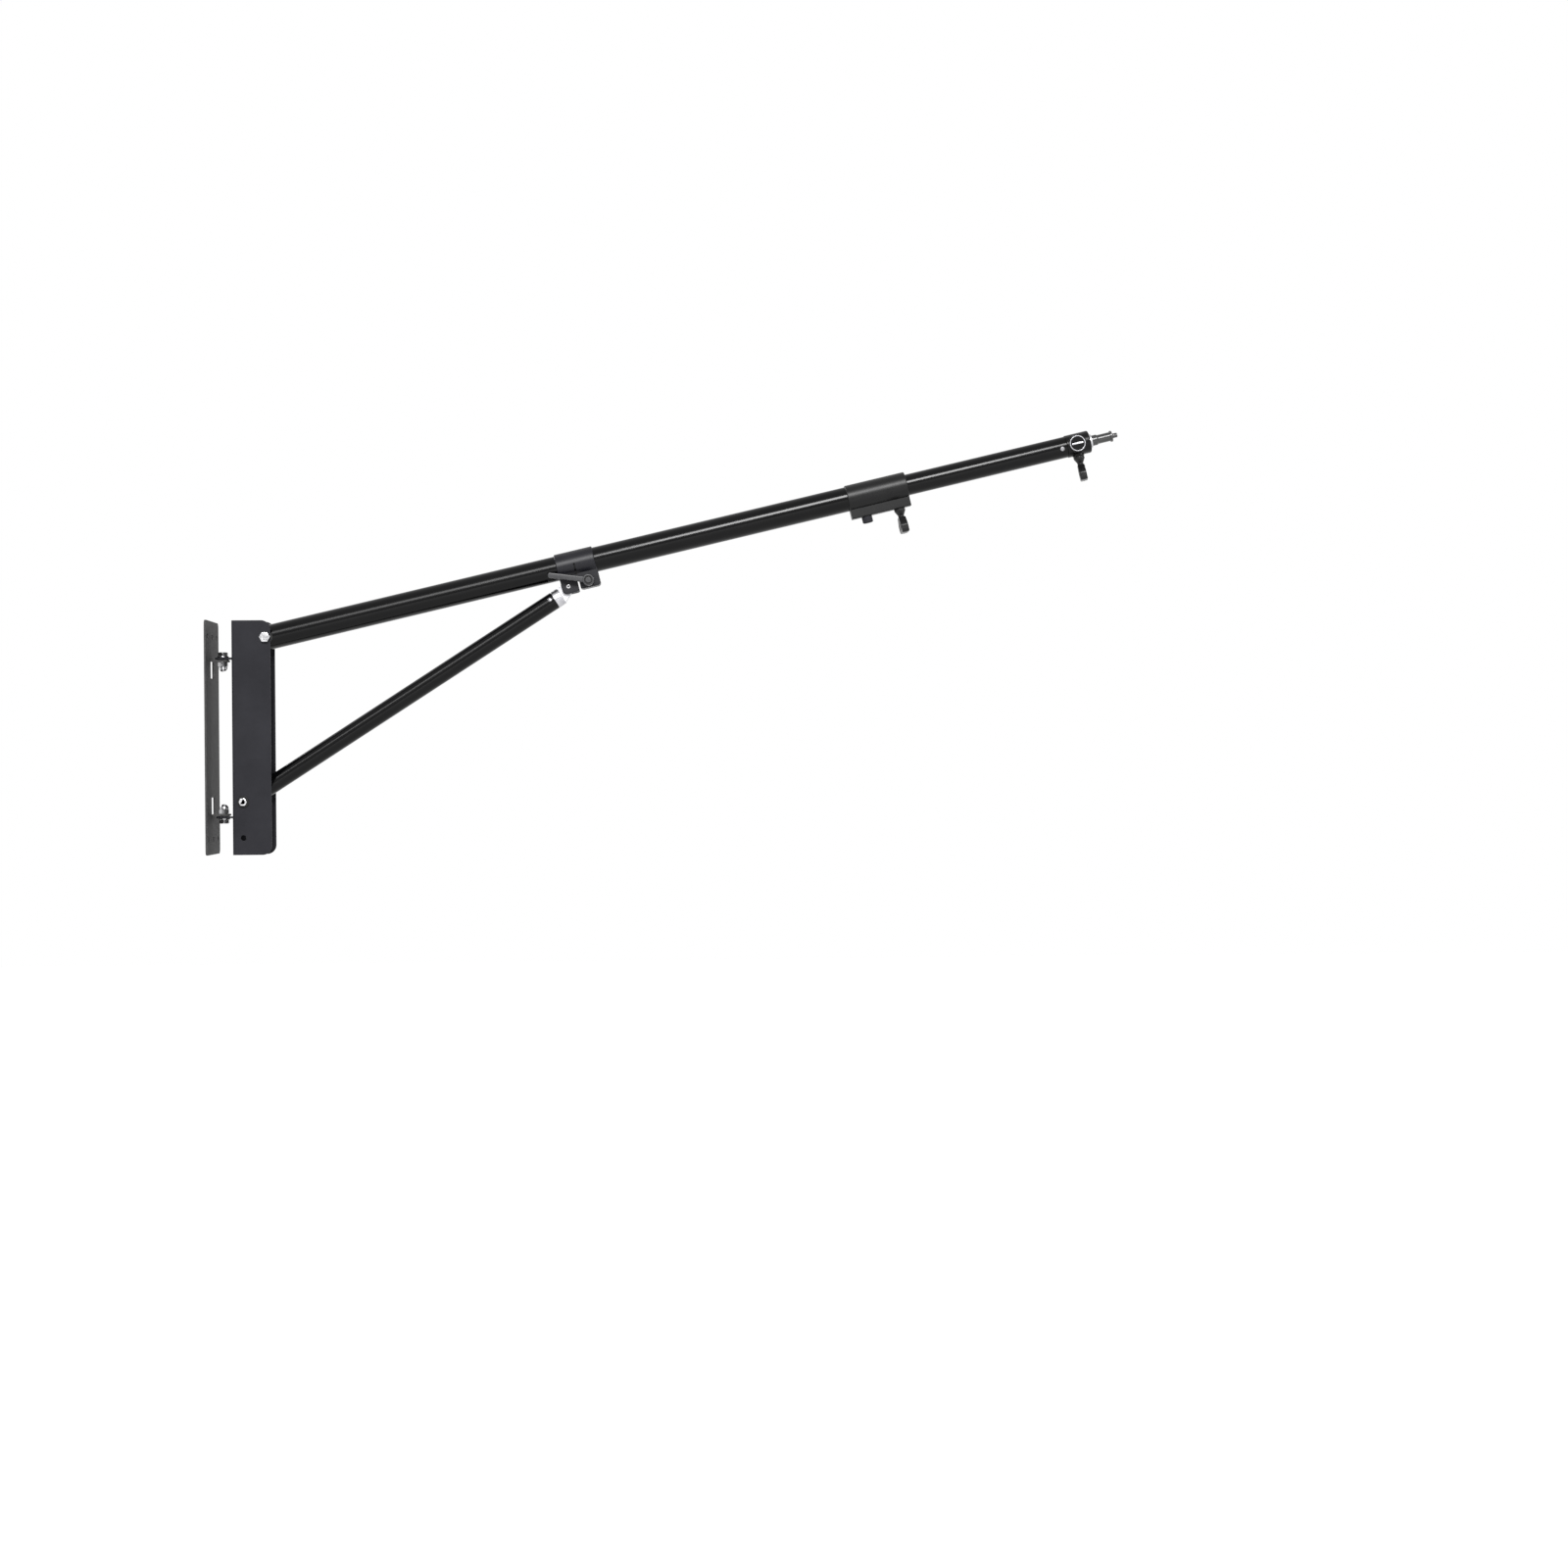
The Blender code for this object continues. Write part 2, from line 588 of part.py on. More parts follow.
def make_swivel_joint(side, chrome, nylon):
    """Bolt, washers and dome nut of one swivel joint, the head on the outer side."""
    word = "upper" if side > 0 else "lower"
    inward = TO_DOWN if side > 0 else TO_UP

    def at(height):
        return (SWIVEL_FROM_WALL, 0, side * height)

    washer(f"{word}_swivel_washer", SWIVEL_WASHER_RADIUS, M8_RADIUS, SWIVEL_WASHER_THICKNESS, nylon,
           None, at(TAB_FACE + GAP + SWIVEL_WASHER_THICKNESS), inward)
    washer_top = LUG_FACE + GAP + HEAD_WASHER_THICKNESS
    washer(f"{word}_head_washer", SWIVEL_WASHER_RADIUS, M8_RADIUS, HEAD_WASHER_THICKNESS, chrome,
           None, at(washer_top), inward)
    head_seat = washer_top + GAP
    nut_seat = TAB_FACE - SHEET - GAP
    length = head_seat - nut_seat + DOME_NUT_HEIGHT - DOME_NUT_ROOM - BOLT_PROUD
    hex_bolt(f"{word}_swivel_bolt", M8_RADIUS, M8_FLATS, M8_HEAD, length, chrome, None, at(head_seat), inward)
    dome_nut(f"{word}_swivel_nut", chrome, at(nut_seat), inward)


def make_boom_pivot(chrome, nylon, swivel):
    """Bolt, nut and washers that the boom turns on between the flanges."""
    centre = BOOM_PIVOT - Vector((SWIVEL_FROM_WALL, 0, 0))
    seat = FLANGE_OUT + GAP
    side_gap = FLANGE_IN - BOOM_RADIUS - 2 * GAP
    hex_bolt("boom_pivot_bolt", M8_RADIUS, M8_FLATS, M8_HEAD, 2 * seat + M8_NUT + BOLT_PROUD, chrome, swivel,
             centre - Vector((0, seat, 0)), TO_RIGHT)
    hex_nut("boom_pivot_nut", M8_RADIUS, M8_FLATS, M8_NUT, chrome, swivel, centre + Vector((0, seat, 0)), TO_RIGHT)
    for word, start in (("near", -FLANGE_IN + GAP), ("far", FLANGE_IN - GAP - side_gap)):
        washer(f"boom_pivot_washer_{word}", BOOM_WASHER_RADIUS, M8_RADIUS, side_gap, nylon, swivel,
               centre + Vector((0, start, 0)), TO_RIGHT)


def make_brace_pivot(chrome, black_plastic, nylon, swivel):
    """Bolt, nut, washer and spacers at the brace's foot."""
    centre = BRACE_PIVOT - Vector((SWIVEL_FROM_WALL, 0, 0))
    seat = FLANGE_OUT + GAP
    head_seat = seat + BRACE_WASHER_THICKNESS + GAP
    hex_bolt("brace_pivot_bolt", M6_RADIUS, M6_FLATS, M6_HEAD, head_seat + seat + M6_NUT + BOLT_PROUD, chrome,
             swivel, centre - Vector((0, head_seat, 0)), TO_RIGHT)
    washer("brace_pivot_washer", BRACE_WASHER_RADIUS, M6_RADIUS, BRACE_WASHER_THICKNESS, black_plastic, swivel,
           centre - Vector((0, seat + BRACE_WASHER_THICKNESS, 0)), TO_RIGHT)
    hex_nut("brace_pivot_nut", M6_RADIUS, M6_FLATS, M6_NUT, chrome, swivel, centre + Vector((0, seat, 0)), TO_RIGHT)
    inner = BRACE_TONGUE_THICKNESS / 2 + GAP
    length = FLANGE_IN - GAP - inner
    for word, start in (("near", -inner - length), ("far", inner)):
        washer(f"brace_pivot_spacer_{word}", BRACE_SPACER_RADIUS, M6_RADIUS, length, nylon, swivel,
               centre + Vector((0, start, 0)), TO_RIGHT)


def make_boom(gloss_black, black_plastic, nylon, boom):
    """The boom tube, the plug in its root and the bush in its mouth."""
    tube = piece("main_tube", sleeve(-BOOM_BEHIND_PIVOT, BOOM_END, BOOM_BORE, BOOM_RADIUS, TUBE_STEPS),
                 gloss_black, boom)
    cut(tube, rod(-2 * BOOM_RADIUS, 2 * BOOM_RADIUS, M8_RADIUS + BOLT_CLEARANCE), (0, 0, 0), TO_RIGHT)
    for at in (FIXING_BOLT_AT, EXTENSION_KNOB_AT):
        cut(tube, rod(0, 2 * BOOM_RADIUS, M8_RADIUS + BOLT_CLEARANCE), (at, 0, 0), TO_DOWN)

    cap_start = -BOOM_BEHIND_PIVOT - GAP - ROOT_CAP_THICKNESS
    plug = piece("boom_root_plug", turned([
        (cap_start, 0), (cap_start, BOOM_RADIUS), (-BOOM_BEHIND_PIVOT - GAP, BOOM_RADIUS),
        (-BOOM_BEHIND_PIVOT - GAP, BOOM_BORE - GAP), (cap_start + ROOT_PLUG_LENGTH, BOOM_BORE - GAP),
        (cap_start + ROOT_PLUG_LENGTH, 0)], TUBE_STEPS), black_plastic, boom)
    cut(plug, rod(-2 * BOOM_RADIUS, 2 * BOOM_RADIUS, M8_RADIUS + BOLT_CLEARANCE), (0, 0, 0), TO_RIGHT)

    bush = piece("guide_bush", sleeve(BUSH_START, BOOM_END - GAP, EXTENSION_RADIUS + GAP, BOOM_BORE - GAP,
                                      TUBE_STEPS), nylon, boom)
    cut(bush, rod(0, 2 * BOOM_RADIUS, M8_RADIUS + BOLT_CLEARANCE), (EXTENSION_KNOB_AT, 0, 0), TO_DOWN)


def make_extension_collar(satin_black, black_steel, boom):
    """The casting on the boom's mouth: a round body with a rail below it, and the bolt that fixes it."""
    start, end, radius, soft = (EXTENSION_COLLAR_START, EXTENSION_COLLAR_END, EXTENSION_COLLAR_RADIUS,
                                EXTENSION_COLLAR_END_ROUND)
    body = ([(start, 0)] + arc((start + soft, radius - soft), soft, 180, 90, 3)
            + arc((end - soft, radius - soft), soft, 90, 0, 3) + [(end, 0)])
    collar = piece("extension_collar", turned(body, TUBE_STEPS), satin_black, boom)
    rail = rounded([(-RAIL_HALF_WIDTH, -RAIL_DEPTH, RAIL_CORNER), (RAIL_HALF_WIDTH, -RAIL_DEPTH, RAIL_CORNER),
                    (RAIL_HALF_WIDTH, 0, 0), (-RAIL_HALF_WIDTH, 0, 0)], 3)
    join(collar, slab(rail, start + soft / 4, end - soft / 4, "X"))
    lip = BOOM_END + GAP
    bore = [(start - radius, 0), (start - radius, COLLAR_BORE), (lip, COLLAR_BORE),
            (lip, EXTENSION_RADIUS + GAP), (end + radius, EXTENSION_RADIUS + GAP), (end + radius, 0)]
    cut(collar, turned(bore, TUBE_STEPS))
    for at in (FIXING_BOLT_AT, EXTENSION_KNOB_AT):
        cut(collar, rod(0, 2 * RAIL_DEPTH, M8_RADIUS + BOLT_CLEARANCE), (at, 0, 0), TO_DOWN)

    head_soft = 0.0022
    head_end = RAIL_DEPTH + GAP + FIXING_HEAD_HEIGHT
    tip = BOOM_BORE + GAP
    bolt = piece("collar_fixing_bolt", turned(
        [(tip, 0), (tip, M8_RADIUS), (RAIL_DEPTH + GAP, M8_RADIUS), (RAIL_DEPTH + GAP, FIXING_HEAD_RADIUS)]
        + arc((head_end - head_soft, FIXING_HEAD_RADIUS - head_soft), head_soft, 90, 0, 4) + [(head_end, 0)]),
        black_steel, boom, (FIXING_BOLT_AT, 0, 0), TO_DOWN)
    cut(bolt, slab(hexagon(FIXING_SOCKET_FLATS), head_end - FIXING_SOCKET_DEPTH, head_end + head_soft, "X"))


def make_knob(name, seat, screw_tip, black_plastic, steel, parent):
    """A winged knob below a tube, with its screw. It turns on the X axis of its parent, which points
    down from the tube's axis. Its boss seats at one distance from there, and its screw reaches up to another."""
    boss = seat + GAP
    wing_top, wing_end = seat + KNOB_WING_START, seat + KNOB_END
    half = KNOB_WING_THICKNESS / 2
    knob = piece(name, turned([(boss, 0), (boss, KNOB_BOSS_RADIUS), (boss + 0.3 * KNOB_BOSS_HEIGHT, KNOB_BOSS_RADIUS),
                               (seat + KNOB_BOSS_HEIGHT, KNOB_NECK_RADIUS),
                               (wing_top + half, KNOB_NECK_RADIUS), (wing_top + half, 0)]), black_plastic, parent)
    waist, wide, corner = KNOB_WAIST_WIDTH / 2, KNOB_WING_WIDTH / 2, KNOB_CORNER
    middle = (wing_top + wing_end) / 2
    wing = rounded([(wing_top, -waist, corner / 2), (middle, -wide, corner), (wing_end, -wide, corner),
                    (wing_end, wide, corner), (middle, wide, corner), (wing_top, waist, corner / 2)])
    join(knob, slab(wing, -half, half, "Z"))
    cut(knob, rod(0, seat + KNOB_BORE_DEPTH, M8_RADIUS + BOLT_CLEARANCE))
    piece(f"{name}_screw", rod(screw_tip, seat + KNOB_BORE_DEPTH - GAP, M8_RADIUS), steel, parent)


def make_extension(gloss_black, black_plastic, extension):
    tube = piece("extension_tube", sleeve(EXTENSION_START, EXTENSION_END, EXTENSION_BORE, EXTENSION_RADIUS,
                                          TUBE_STEPS), gloss_black, extension)
    for turn in HEAD_RIVET_TURNS.values():
        cut(tube, rod(0, 2 * EXTENSION_RADIUS, RIVET_RADIUS + BOLT_CLEARANCE), (HEAD_RIVET_AT, 0, 0), turn)
    cap_end = EXTENSION_START - GAP
    piece("extension_tail_plug", turned([
        (cap_end - TAIL_CAP_LENGTH, 0), (cap_end - TAIL_CAP_LENGTH, BOOM_BORE - GAP), (cap_end, BOOM_BORE - GAP),
        (cap_end, EXTENSION_BORE - GAP), (cap_end + TAIL_PLUG_LENGTH, EXTENSION_BORE - GAP),
        (cap_end + TAIL_PLUG_LENGTH, 0)], TUBE_STEPS), black_plastic, extension)


def make_head(satin_black, bright, extension):
    """The tip head with its socket for the stud, its two side caps and its rivets."""
    start, soft = EXTENSION_END + GAP, HEAD_END_ROUND
    outside = ([(start - HEAD_PLUG_LENGTH, 0), (start - HEAD_PLUG_LENGTH, EXTENSION_BORE - GAP),
                (start, EXTENSION_BORE - GAP), (start, HEAD_RADIUS)]
               + arc((HEAD_END - soft, HEAD_RADIUS - soft), soft, 90, 0, 3) + [(HEAD_END, 0)])
    head = piece("tip_head", turned(outside, TUBE_STEPS), satin_black, extension)
    join(head, rod(-CAP_BOSS_OUT, CAP_BOSS_OUT, CAP_BOSS_RADIUS, TUBE_STEPS), (STUD_AXIS_KNOB_AT, 0, 0), TO_RIGHT)
    join(head, rod(HEAD_RADIUS / 2, TIP_SEAT_OUT, TIP_SEAT_RADIUS, 24), (STUD_AXIS_KNOB_AT, 0, 0), TO_DOWN)
    cut(head, rod(HEAD_END - HEAD_SOCKET_DEPTH, HEAD_END + HEAD_RADIUS, STUD_RADIUS + GAP, 32))
    cut(head, rod(0, 2 * HEAD_RADIUS, M8_RADIUS + BOLT_CLEARANCE), (STUD_AXIS_KNOB_AT, 0, 0), TO_DOWN)
    recess = CAP_BOSS_OUT - CAP_THICKNESS
    for word, turn in (("near", TO_LEFT), ("far", TO_RIGHT)):
        cut(head, rod(recess, 2 * CAP_BOSS_OUT, CAP_RADIUS + GAP, TUBE_STEPS), (STUD_AXIS_KNOB_AT, 0, 0), turn)
        rivet_turn = HEAD_RIVET_TURNS[word]
        cut(head, rod(EXTENSION_BORE - RIVET_LENGTH, 2 * HEAD_RADIUS, RIVET_RADIUS + BOLT_CLEARANCE, 16),
            (HEAD_RIVET_AT, 0, 0), rivet_turn)
        outward = Euler(rivet_turn).to_matrix() @ Vector((1, 0, 0))
        stud = rivet(f"head_rivet_{word}", bright, extension, (0, 0, 0), (0, 0, 0))
        stud.matrix_local = (Matrix.Translation(Vector((HEAD_RIVET_AT, 0, 0)) + (EXTENSION_RADIUS + GAP) * outward)
                             @ Euler(rivet_turn).to_matrix().to_4x4() @ Matrix.Rotation(math.pi, 4, "Z"))
        make_side_cap(f"side_cap_{word}", recess + GAP, bright, extension, turn)


def make_side_cap(name, seat, bright, extension, turn):
    """A round cap with a raised rim and a bar across it, seated in the head's side."""
    face = seat + CAP_THICKNESS
    pocket = CAP_RADIUS - CAP_RIM
    cap = piece(name, turned([(seat, 0), (seat, CAP_RADIUS), (face, CAP_RADIUS), (face, pocket),
                              (face - CAP_POCKET, pocket), (face - CAP_POCKET, 0)], TUBE_STEPS),
                bright, extension, (STUD_AXIS_KNOB_AT, 0, 0), turn)
    half, reach = CAP_BAR_WIDTH / 2, CAP_BAR_LENGTH / 2
    bar = [(-half, -reach), (half, -reach), (half, reach), (-half, reach)]
    bm = slab(bar, seat + CAP_THICKNESS / 3, face - CAP_POCKET / 5, "X")
    bm.transform(Matrix.Rotation(math.pi / 2 + CAP_BAR_TURN, 4, "X"))
    join(cap, bm)


def make_spigot(satin_black, bright, spigot):
    """The stud that takes the light, and the bright flange that it seats on."""
    base = HEAD_END - HEAD_SOCKET_DEPTH + GAP
    piece("spigot_stud", turned([
        (base, 0), (base, STUD_RADIUS), (STUD_FLANGE_END + GAP, STUD_RADIUS),
        (STUD_FLANGE_END + GAP, STUD_SHOULDER_RADIUS), (STUD_SHOULDER_END, STUD_SHOULDER_RADIUS),
        (STUD_WAIST_START, STUD_WAIST_RADIUS), (STUD_WAIST_END, STUD_WAIST_RADIUS),
        (STUD_WAIST_END, STUD_RADIUS), (STUD_LIP_END, STUD_RADIUS), (STUD_LIP_END, STUD_TIP_RADIUS),
        (STUD_TIP_END - STUD_TIP_RADIUS / 4, STUD_TIP_RADIUS), (STUD_TIP_END, 0.75 * STUD_TIP_RADIUS),
        (STUD_TIP_END, 0)], 32), satin_black, spigot)
    piece("spigot_flange", sleeve(HEAD_END + GAP, STUD_FLANGE_END, STUD_RADIUS + GAP, STUD_FLANGE_RADIUS, 32),
          bright, spigot)


def make_slide_collar(satin_grey, chrome, collar):
    """The collar that the brace holds, in a frame on the boom's axis over the brace pin."""
    back, front, radius, soft = -COLLAR_BEHIND_PIN, COLLAR_AHEAD_OF_PIN, COLLAR_RADIUS, COLLAR_CHAMFER
    body = piece("slide_collar", turned([(back, 0), (back, radius - soft), (back + soft, radius),
                                         (front - soft, radius), (front, radius - soft), (front, 0)], TUBE_STEPS),
                 satin_grey, collar)
    slit_start = COLLAR_SLIT_AT - COLLAR_SLIT_WIDTH / 2
    slit_end = COLLAR_SLIT_AT + COLLAR_SLIT_WIDTH / 2
    top = -radius / 3
    pin_lug = rounded([(back + soft / 2, top, 0), (back + soft / 2, -PIN_LUG_BOTTOM, LUG_ROUND),
                       (slit_start + soft, -PIN_LUG_BOTTOM, LUG_ROUND), (slit_start + soft, top, 0)])
    clamp_lug = rounded([(slit_end - soft, top, 0), (slit_end - soft, -CLAMP_LUG_BOTTOM, LUG_ROUND),
                         (CLAMP_LUG_FRONT, -CLAMP_LUG_BOTTOM, LUG_ROUND), (CLAMP_LUG_FRONT, top, 0)])
    join(body, slab(pin_lug, -PIN_LUG_HALF_WIDTH, PIN_LUG_HALF_WIDTH, "Y"))
    join(body, slab(clamp_lug, -CLAMP_LUG_HALF_WIDTH, CLAMP_LUG_HALF_WIDTH, "Y"))
    cut(body, rod(2 * back, 2 * front, COLLAR_BORE, TUBE_STEPS))

    deep, wide = 2 * PIN_LUG_BOTTOM, 2 * radius
    slot_top = -PIN_BELOW_AXIS + BRACE_EYE_RADIUS + 2 * GAP
    half_slot = BRACE_TONGUE_THICKNESS / 2 + GAP
    cut(body, slab([(-half_slot, -deep), (half_slot, -deep), (half_slot, slot_top), (-half_slot, slot_top)],
                   2 * back, COLLAR_SLIT_AT, "X"))
    cut(body, slab([(-wide, -deep), (wide, -deep), (wide, soft / 2), (-wide, soft / 2)], slit_start, slit_end, "X"))
    split = CLAMP_SPLIT / 2
    cut(body, slab([(-split, -deep), (split, -deep), (split, -radius / 2), (-split, -radius / 2)],
                   COLLAR_SLIT_AT, 2 * front, "X"))

    pin = Vector((0, 0, -PIN_BELOW_AXIS))
    cut(body, rod(-wide, wide, M5_RADIUS + BOLT_CLEARANCE), pin, TO_RIGHT)
    cut(body, rod(PIN_LUG_HALF_WIDTH - PIN_RECESS_DEPTH, wide, PIN_RECESS_RADIUS), pin, TO_LEFT)
    clamp = Vector((CLAMP_BOLT_AHEAD, 0, -CLAMP_BOLT_BELOW))
    cut(body, rod(-wide, wide, M6_RADIUS + BOLT_CLEARANCE), clamp, TO_RIGHT)

    pin_seat = PIN_LUG_HALF_WIDTH - PIN_RECESS_DEPTH + GAP
    head = M5_HEAD
    far = PIN_LUG_HALF_WIDTH + GAP
    head_radius = PIN_RECESS_RADIUS - 2 * GAP
    length = pin_seat + far + M5_NUT + BOLT_PROUD
    piece("brace_pin", turned([(-head, 0), (-head, 0.7 * head_radius), (-0.6 * head, head_radius), (0, head_radius),
                               (0, M5_RADIUS), (length, M5_RADIUS), (length, 0)]), chrome, collar,
          pin - Vector((0, pin_seat, 0)), TO_RIGHT)
    hex_nut("brace_pin_nut", M5_RADIUS, M5_FLATS, M5_NUT, chrome, collar, pin + Vector((0, far, 0)), TO_RIGHT)
    clamp_seat = CLAMP_LUG_HALF_WIDTH + GAP
    hex_bolt("clamp_bolt", M6_RADIUS, M6_FLATS, M6_HEAD, 2 * clamp_seat + LEVER_BORE_DEPTH - GAP, chrome, collar,
             clamp + Vector((0, clamp_seat, 0)), TO_LEFT)


def make_lever(satin_grey, chrome, lever):
    """The clamp lever, in a frame on the clamp bolt's axis."""
    seat = CLAMP_LUG_HALF_WIDTH + GAP
    soft = 0.001
    handle = piece("clamp_lever", turned([(seat, 0), (seat, LEVER_HUB_RADIUS), (LEVER_HUB_OUT - soft, LEVER_HUB_RADIUS),
                                          (LEVER_HUB_OUT, LEVER_HUB_RADIUS - soft), (LEVER_HUB_OUT, 0)]),
                   satin_grey, lever, (0, 0, 0), TO_LEFT)
    tip = LEVER_LENGTH - LEVER_TIP_HALF
    arm = slab(hull([(0, 0, LEVER_ROOT_HALF), (tip, 0, LEVER_TIP_HALF)], 16), -LEVER_ARM_OUT, -LEVER_ARM_IN, "Y")
    arm.transform(Matrix.Rotation(-LEVER_ANGLE, 4, "Y"))
    arm.transform(Matrix.Rotation(math.pi / 2, 4, "Z"))
    join(handle, arm)
    cut(handle, rod(0, seat + LEVER_BORE_DEPTH, M6_RADIUS + BOLT_CLEARANCE))
    cut(handle, rod(LEVER_HUB_OUT - LEVER_SCREW_DEPTH, LEVER_HUB_OUT + seat, LEVER_SCREW_RADIUS + GAP))
    piece("lever_screw", rod(LEVER_HUB_OUT - LEVER_SCREW_DEPTH + GAP, LEVER_HUB_OUT - GAP, LEVER_SCREW_RADIUS),
          chrome, lever, (0, 0, 0), TO_LEFT)


def make_brace(gloss_black, bright, brace):
    """The brace tube with a plug in each end, in a frame on the brace pin and along the tube."""
    line = Vector((0, 0, -BRACE_PIN_RISE))
    tube_end = -BRACE_TONGUE - BRACE_PLUG_RING - GAP
    tube_start = FOOT_AT + FOOT_TONGUE + BRACE_PLUG_RING + GAP
    rivet_at = tube_end - BRACE_RIVET_INSET
    tube = piece("brace_tube", sleeve(tube_start, tube_end, BRACE_BORE, BRACE_RADIUS, 32), gloss_black, brace, line)
    spin = Matrix.Rotation(-BRACE_RIVET_TURN, 4, "X") @ Matrix.Rotation(-math.pi / 2, 4, "Z")

    def rivet_hole():
        bm = rod(BRACE_BORE - RIVET_LENGTH, 2 * BRACE_RADIUS, RIVET_RADIUS + BOLT_CLEARANCE, 16)
        bm.transform(Matrix.Translation((rivet_at, 0, 0)) @ spin)
        return bm

    cut(tube, rivet_hole())
    half = BRACE_TONGUE_THICKNESS / 2
    root = 0.92 * BRACE_RADIUS
    corner = 0.001

    plug = piece("brace_end_plug", turned([
        (tube_end - BRACE_PLUG_INSIDE, 0), (tube_end - BRACE_PLUG_INSIDE, BRACE_BORE - GAP),
        (tube_end + GAP, BRACE_BORE - GAP), (tube_end + GAP, BRACE_RADIUS),
        (-BRACE_TONGUE - corner / 2, BRACE_RADIUS), (-BRACE_TONGUE, BRACE_RADIUS - corner / 2),
        (-BRACE_TONGUE, 0)], 32), bright, brace, line)
    tongue = hull([(0, BRACE_PIN_RISE, BRACE_EYE_RADIUS), (-BRACE_TONGUE - corner, root - corner, corner),
                   (-BRACE_TONGUE - corner, corner - root, corner)], 32)
    join(plug, slab(tongue, -half, half, "Y"))
    cut(plug, rod(-2 * half, 2 * half, M5_RADIUS + BOLT_CLEARANCE), (0, 0, BRACE_PIN_RISE), TO_RIGHT)
    cut(plug, rivet_hole())

    ring_end = FOOT_AT + FOOT_TONGUE
    foot = piece("brace_foot", turned([
        (ring_end, 0), (ring_end, BRACE_RADIUS), (ring_end + BRACE_PLUG_RING, BRACE_RADIUS),
        (ring_end + BRACE_PLUG_RING, BRACE_BORE - GAP), (ring_end + BRACE_PLUG_INSIDE, BRACE_BORE - GAP),
        (ring_end + BRACE_PLUG_INSIDE, 0)], 32), bright, brace, line)
    slot_radius = M6_RADIUS + BOLT_CLEARANCE + FOOT_SLOT_EASE
    shifts = [foot_bolt_shift(-TILT_RANGE), foot_bolt_shift(TILT_RANGE)]
    slot = [(FOOT_AT, 0, slot_radius)] + [(FOOT_AT + along, across, slot_radius) for along, across in shifts]
    ear = [(FOOT_AT, 0, FOOT_EYE_RADIUS)] + [(x, z, r + FOOT_SLOT_WALL) for x, z, r in slot[1:]]
    ear += [(ring_end + corner, side * (root - corner), corner) for side in (1, -1)]
    join(foot, slab(hull(ear, 32), -half, half, "Y"))
    cut(foot, slab(hull(slot, 24), -2 * half, 2 * half, "Y"))

    seat = Matrix.Translation((rivet_at, 0, 0)) @ spin @ Matrix.Translation((BRACE_RADIUS + GAP, 0, 0))
    stud = rivet("brace_plug_rivet", bright, brace, (0, 0, 0), (0, 0, 0))
    stud.matrix_local = Matrix.Translation(line) @ seat @ Matrix.Rotation(math.pi, 4, "Z")


def main():
    clear_scene()
    black_steel = paint("black powder-coated steel", (0.055, 0.055, 0.060), 0.55, 0.0)
    gloss_black = paint("gloss black tube", (0.012, 0.012, 0.013), 0.16, 0.0)
    satin_black = paint("satin black casting", (0.020, 0.020, 0.021), 0.38, 0.0)
    satin_grey = paint("satin dark grey casting", (0.060, 0.058, 0.066), 0.40, 0.0)
    black_plastic = paint("black plastic", (0.022, 0.022, 0.024), 0.50, 0.0)
    nylon = paint("dark nylon", (0.030, 0.030, 0.030), 0.60, 0.0)
    chrome = paint("bright zinc", (0.75, 0.75, 0.76), 0.22, 1.0)
    bright = paint("bright aluminium", (0.80, 0.80, 0.82), 0.28, 1.0)

    swivel = empty("swivel_axis", (SWIVEL_FROM_WALL, 0, 0))
    boom = empty("boom_pivot_axis", BOOM_PIVOT - Vector((SWIVEL_FROM_WALL, 0, 0)), swivel, (0, -BOOM_TILT, 0))
    collar = empty("collar_slide_axis", (COLLAR_AT, 0, 0), boom)
    lever = empty("lever_axis", (CLAMP_BOLT_AHEAD, 0, -CLAMP_BOLT_BELOW), collar)
    brace = empty("brace_pin_axis", (0, 0, -PIN_BELOW_AXIS), collar, (0, BOOM_TILT - BRACE_TILT, 0))
    extension = empty("extension_axis", (0, 0, 0), boom)
    extension_knob = empty("extension_knob_axis", (EXTENSION_KNOB_AT, 0, 0), boom, TO_DOWN)
    tip_knob = empty("tip_knob_axis", (STUD_AXIS_KNOB_AT, 0, 0), extension, TO_DOWN)

    make_wall_plate(black_steel)
    make_bracket(black_steel, swivel)
    for side in (1, -1):
        make_swivel_joint(side, chrome, nylon)
    make_boom_pivot(chrome, nylon, swivel)
    make_brace_pivot(chrome, black_plastic, nylon, swivel)
    make_boom(gloss_black, black_plastic, nylon, boom)
    make_extension_collar(satin_black, black_steel, boom)
    pad_start = EXTENSION_RADIUS + GAP
    make_knob("extension_knob", RAIL_DEPTH, pad_start + PAD_THICKNESS + GAP, black_plastic, chrome,
              extension_knob)
    piece("extension_knob_pad", rod(pad_start, pad_start + PAD_THICKNESS, PAD_RADIUS), nylon, extension_knob)
    make_extension(gloss_black, black_plastic, extension)
    make_head(satin_black, bright, extension)
    make_knob("tip_knob", TIP_SEAT_OUT, STUD_RADIUS + GAP, black_plastic, chrome, tip_knob)
    make_spigot(satin_black, bright, extension)
    make_slide_collar(satin_grey, chrome, collar)
    make_lever(satin_grey, chrome, lever)
    make_brace(gloss_black, bright, brace)


main()
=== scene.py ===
# %% [markdown]
# # A wall boom arm for a studio light
# The arm is a steel plate on the wall, a channel that swivels on it, a boom tube with a brace below it,
# and an extension tube that slides out and ends in a stud for the light. The model that moves was made
# first, from plain facets. This file gives each of its pieces a fine surface, then adds the light and
# the camera. It is read from top to bottom, one cell at a time.

import json
import math
from collections import namedtuple

import bmesh
import bpy
from mathutils import Matrix, Vector

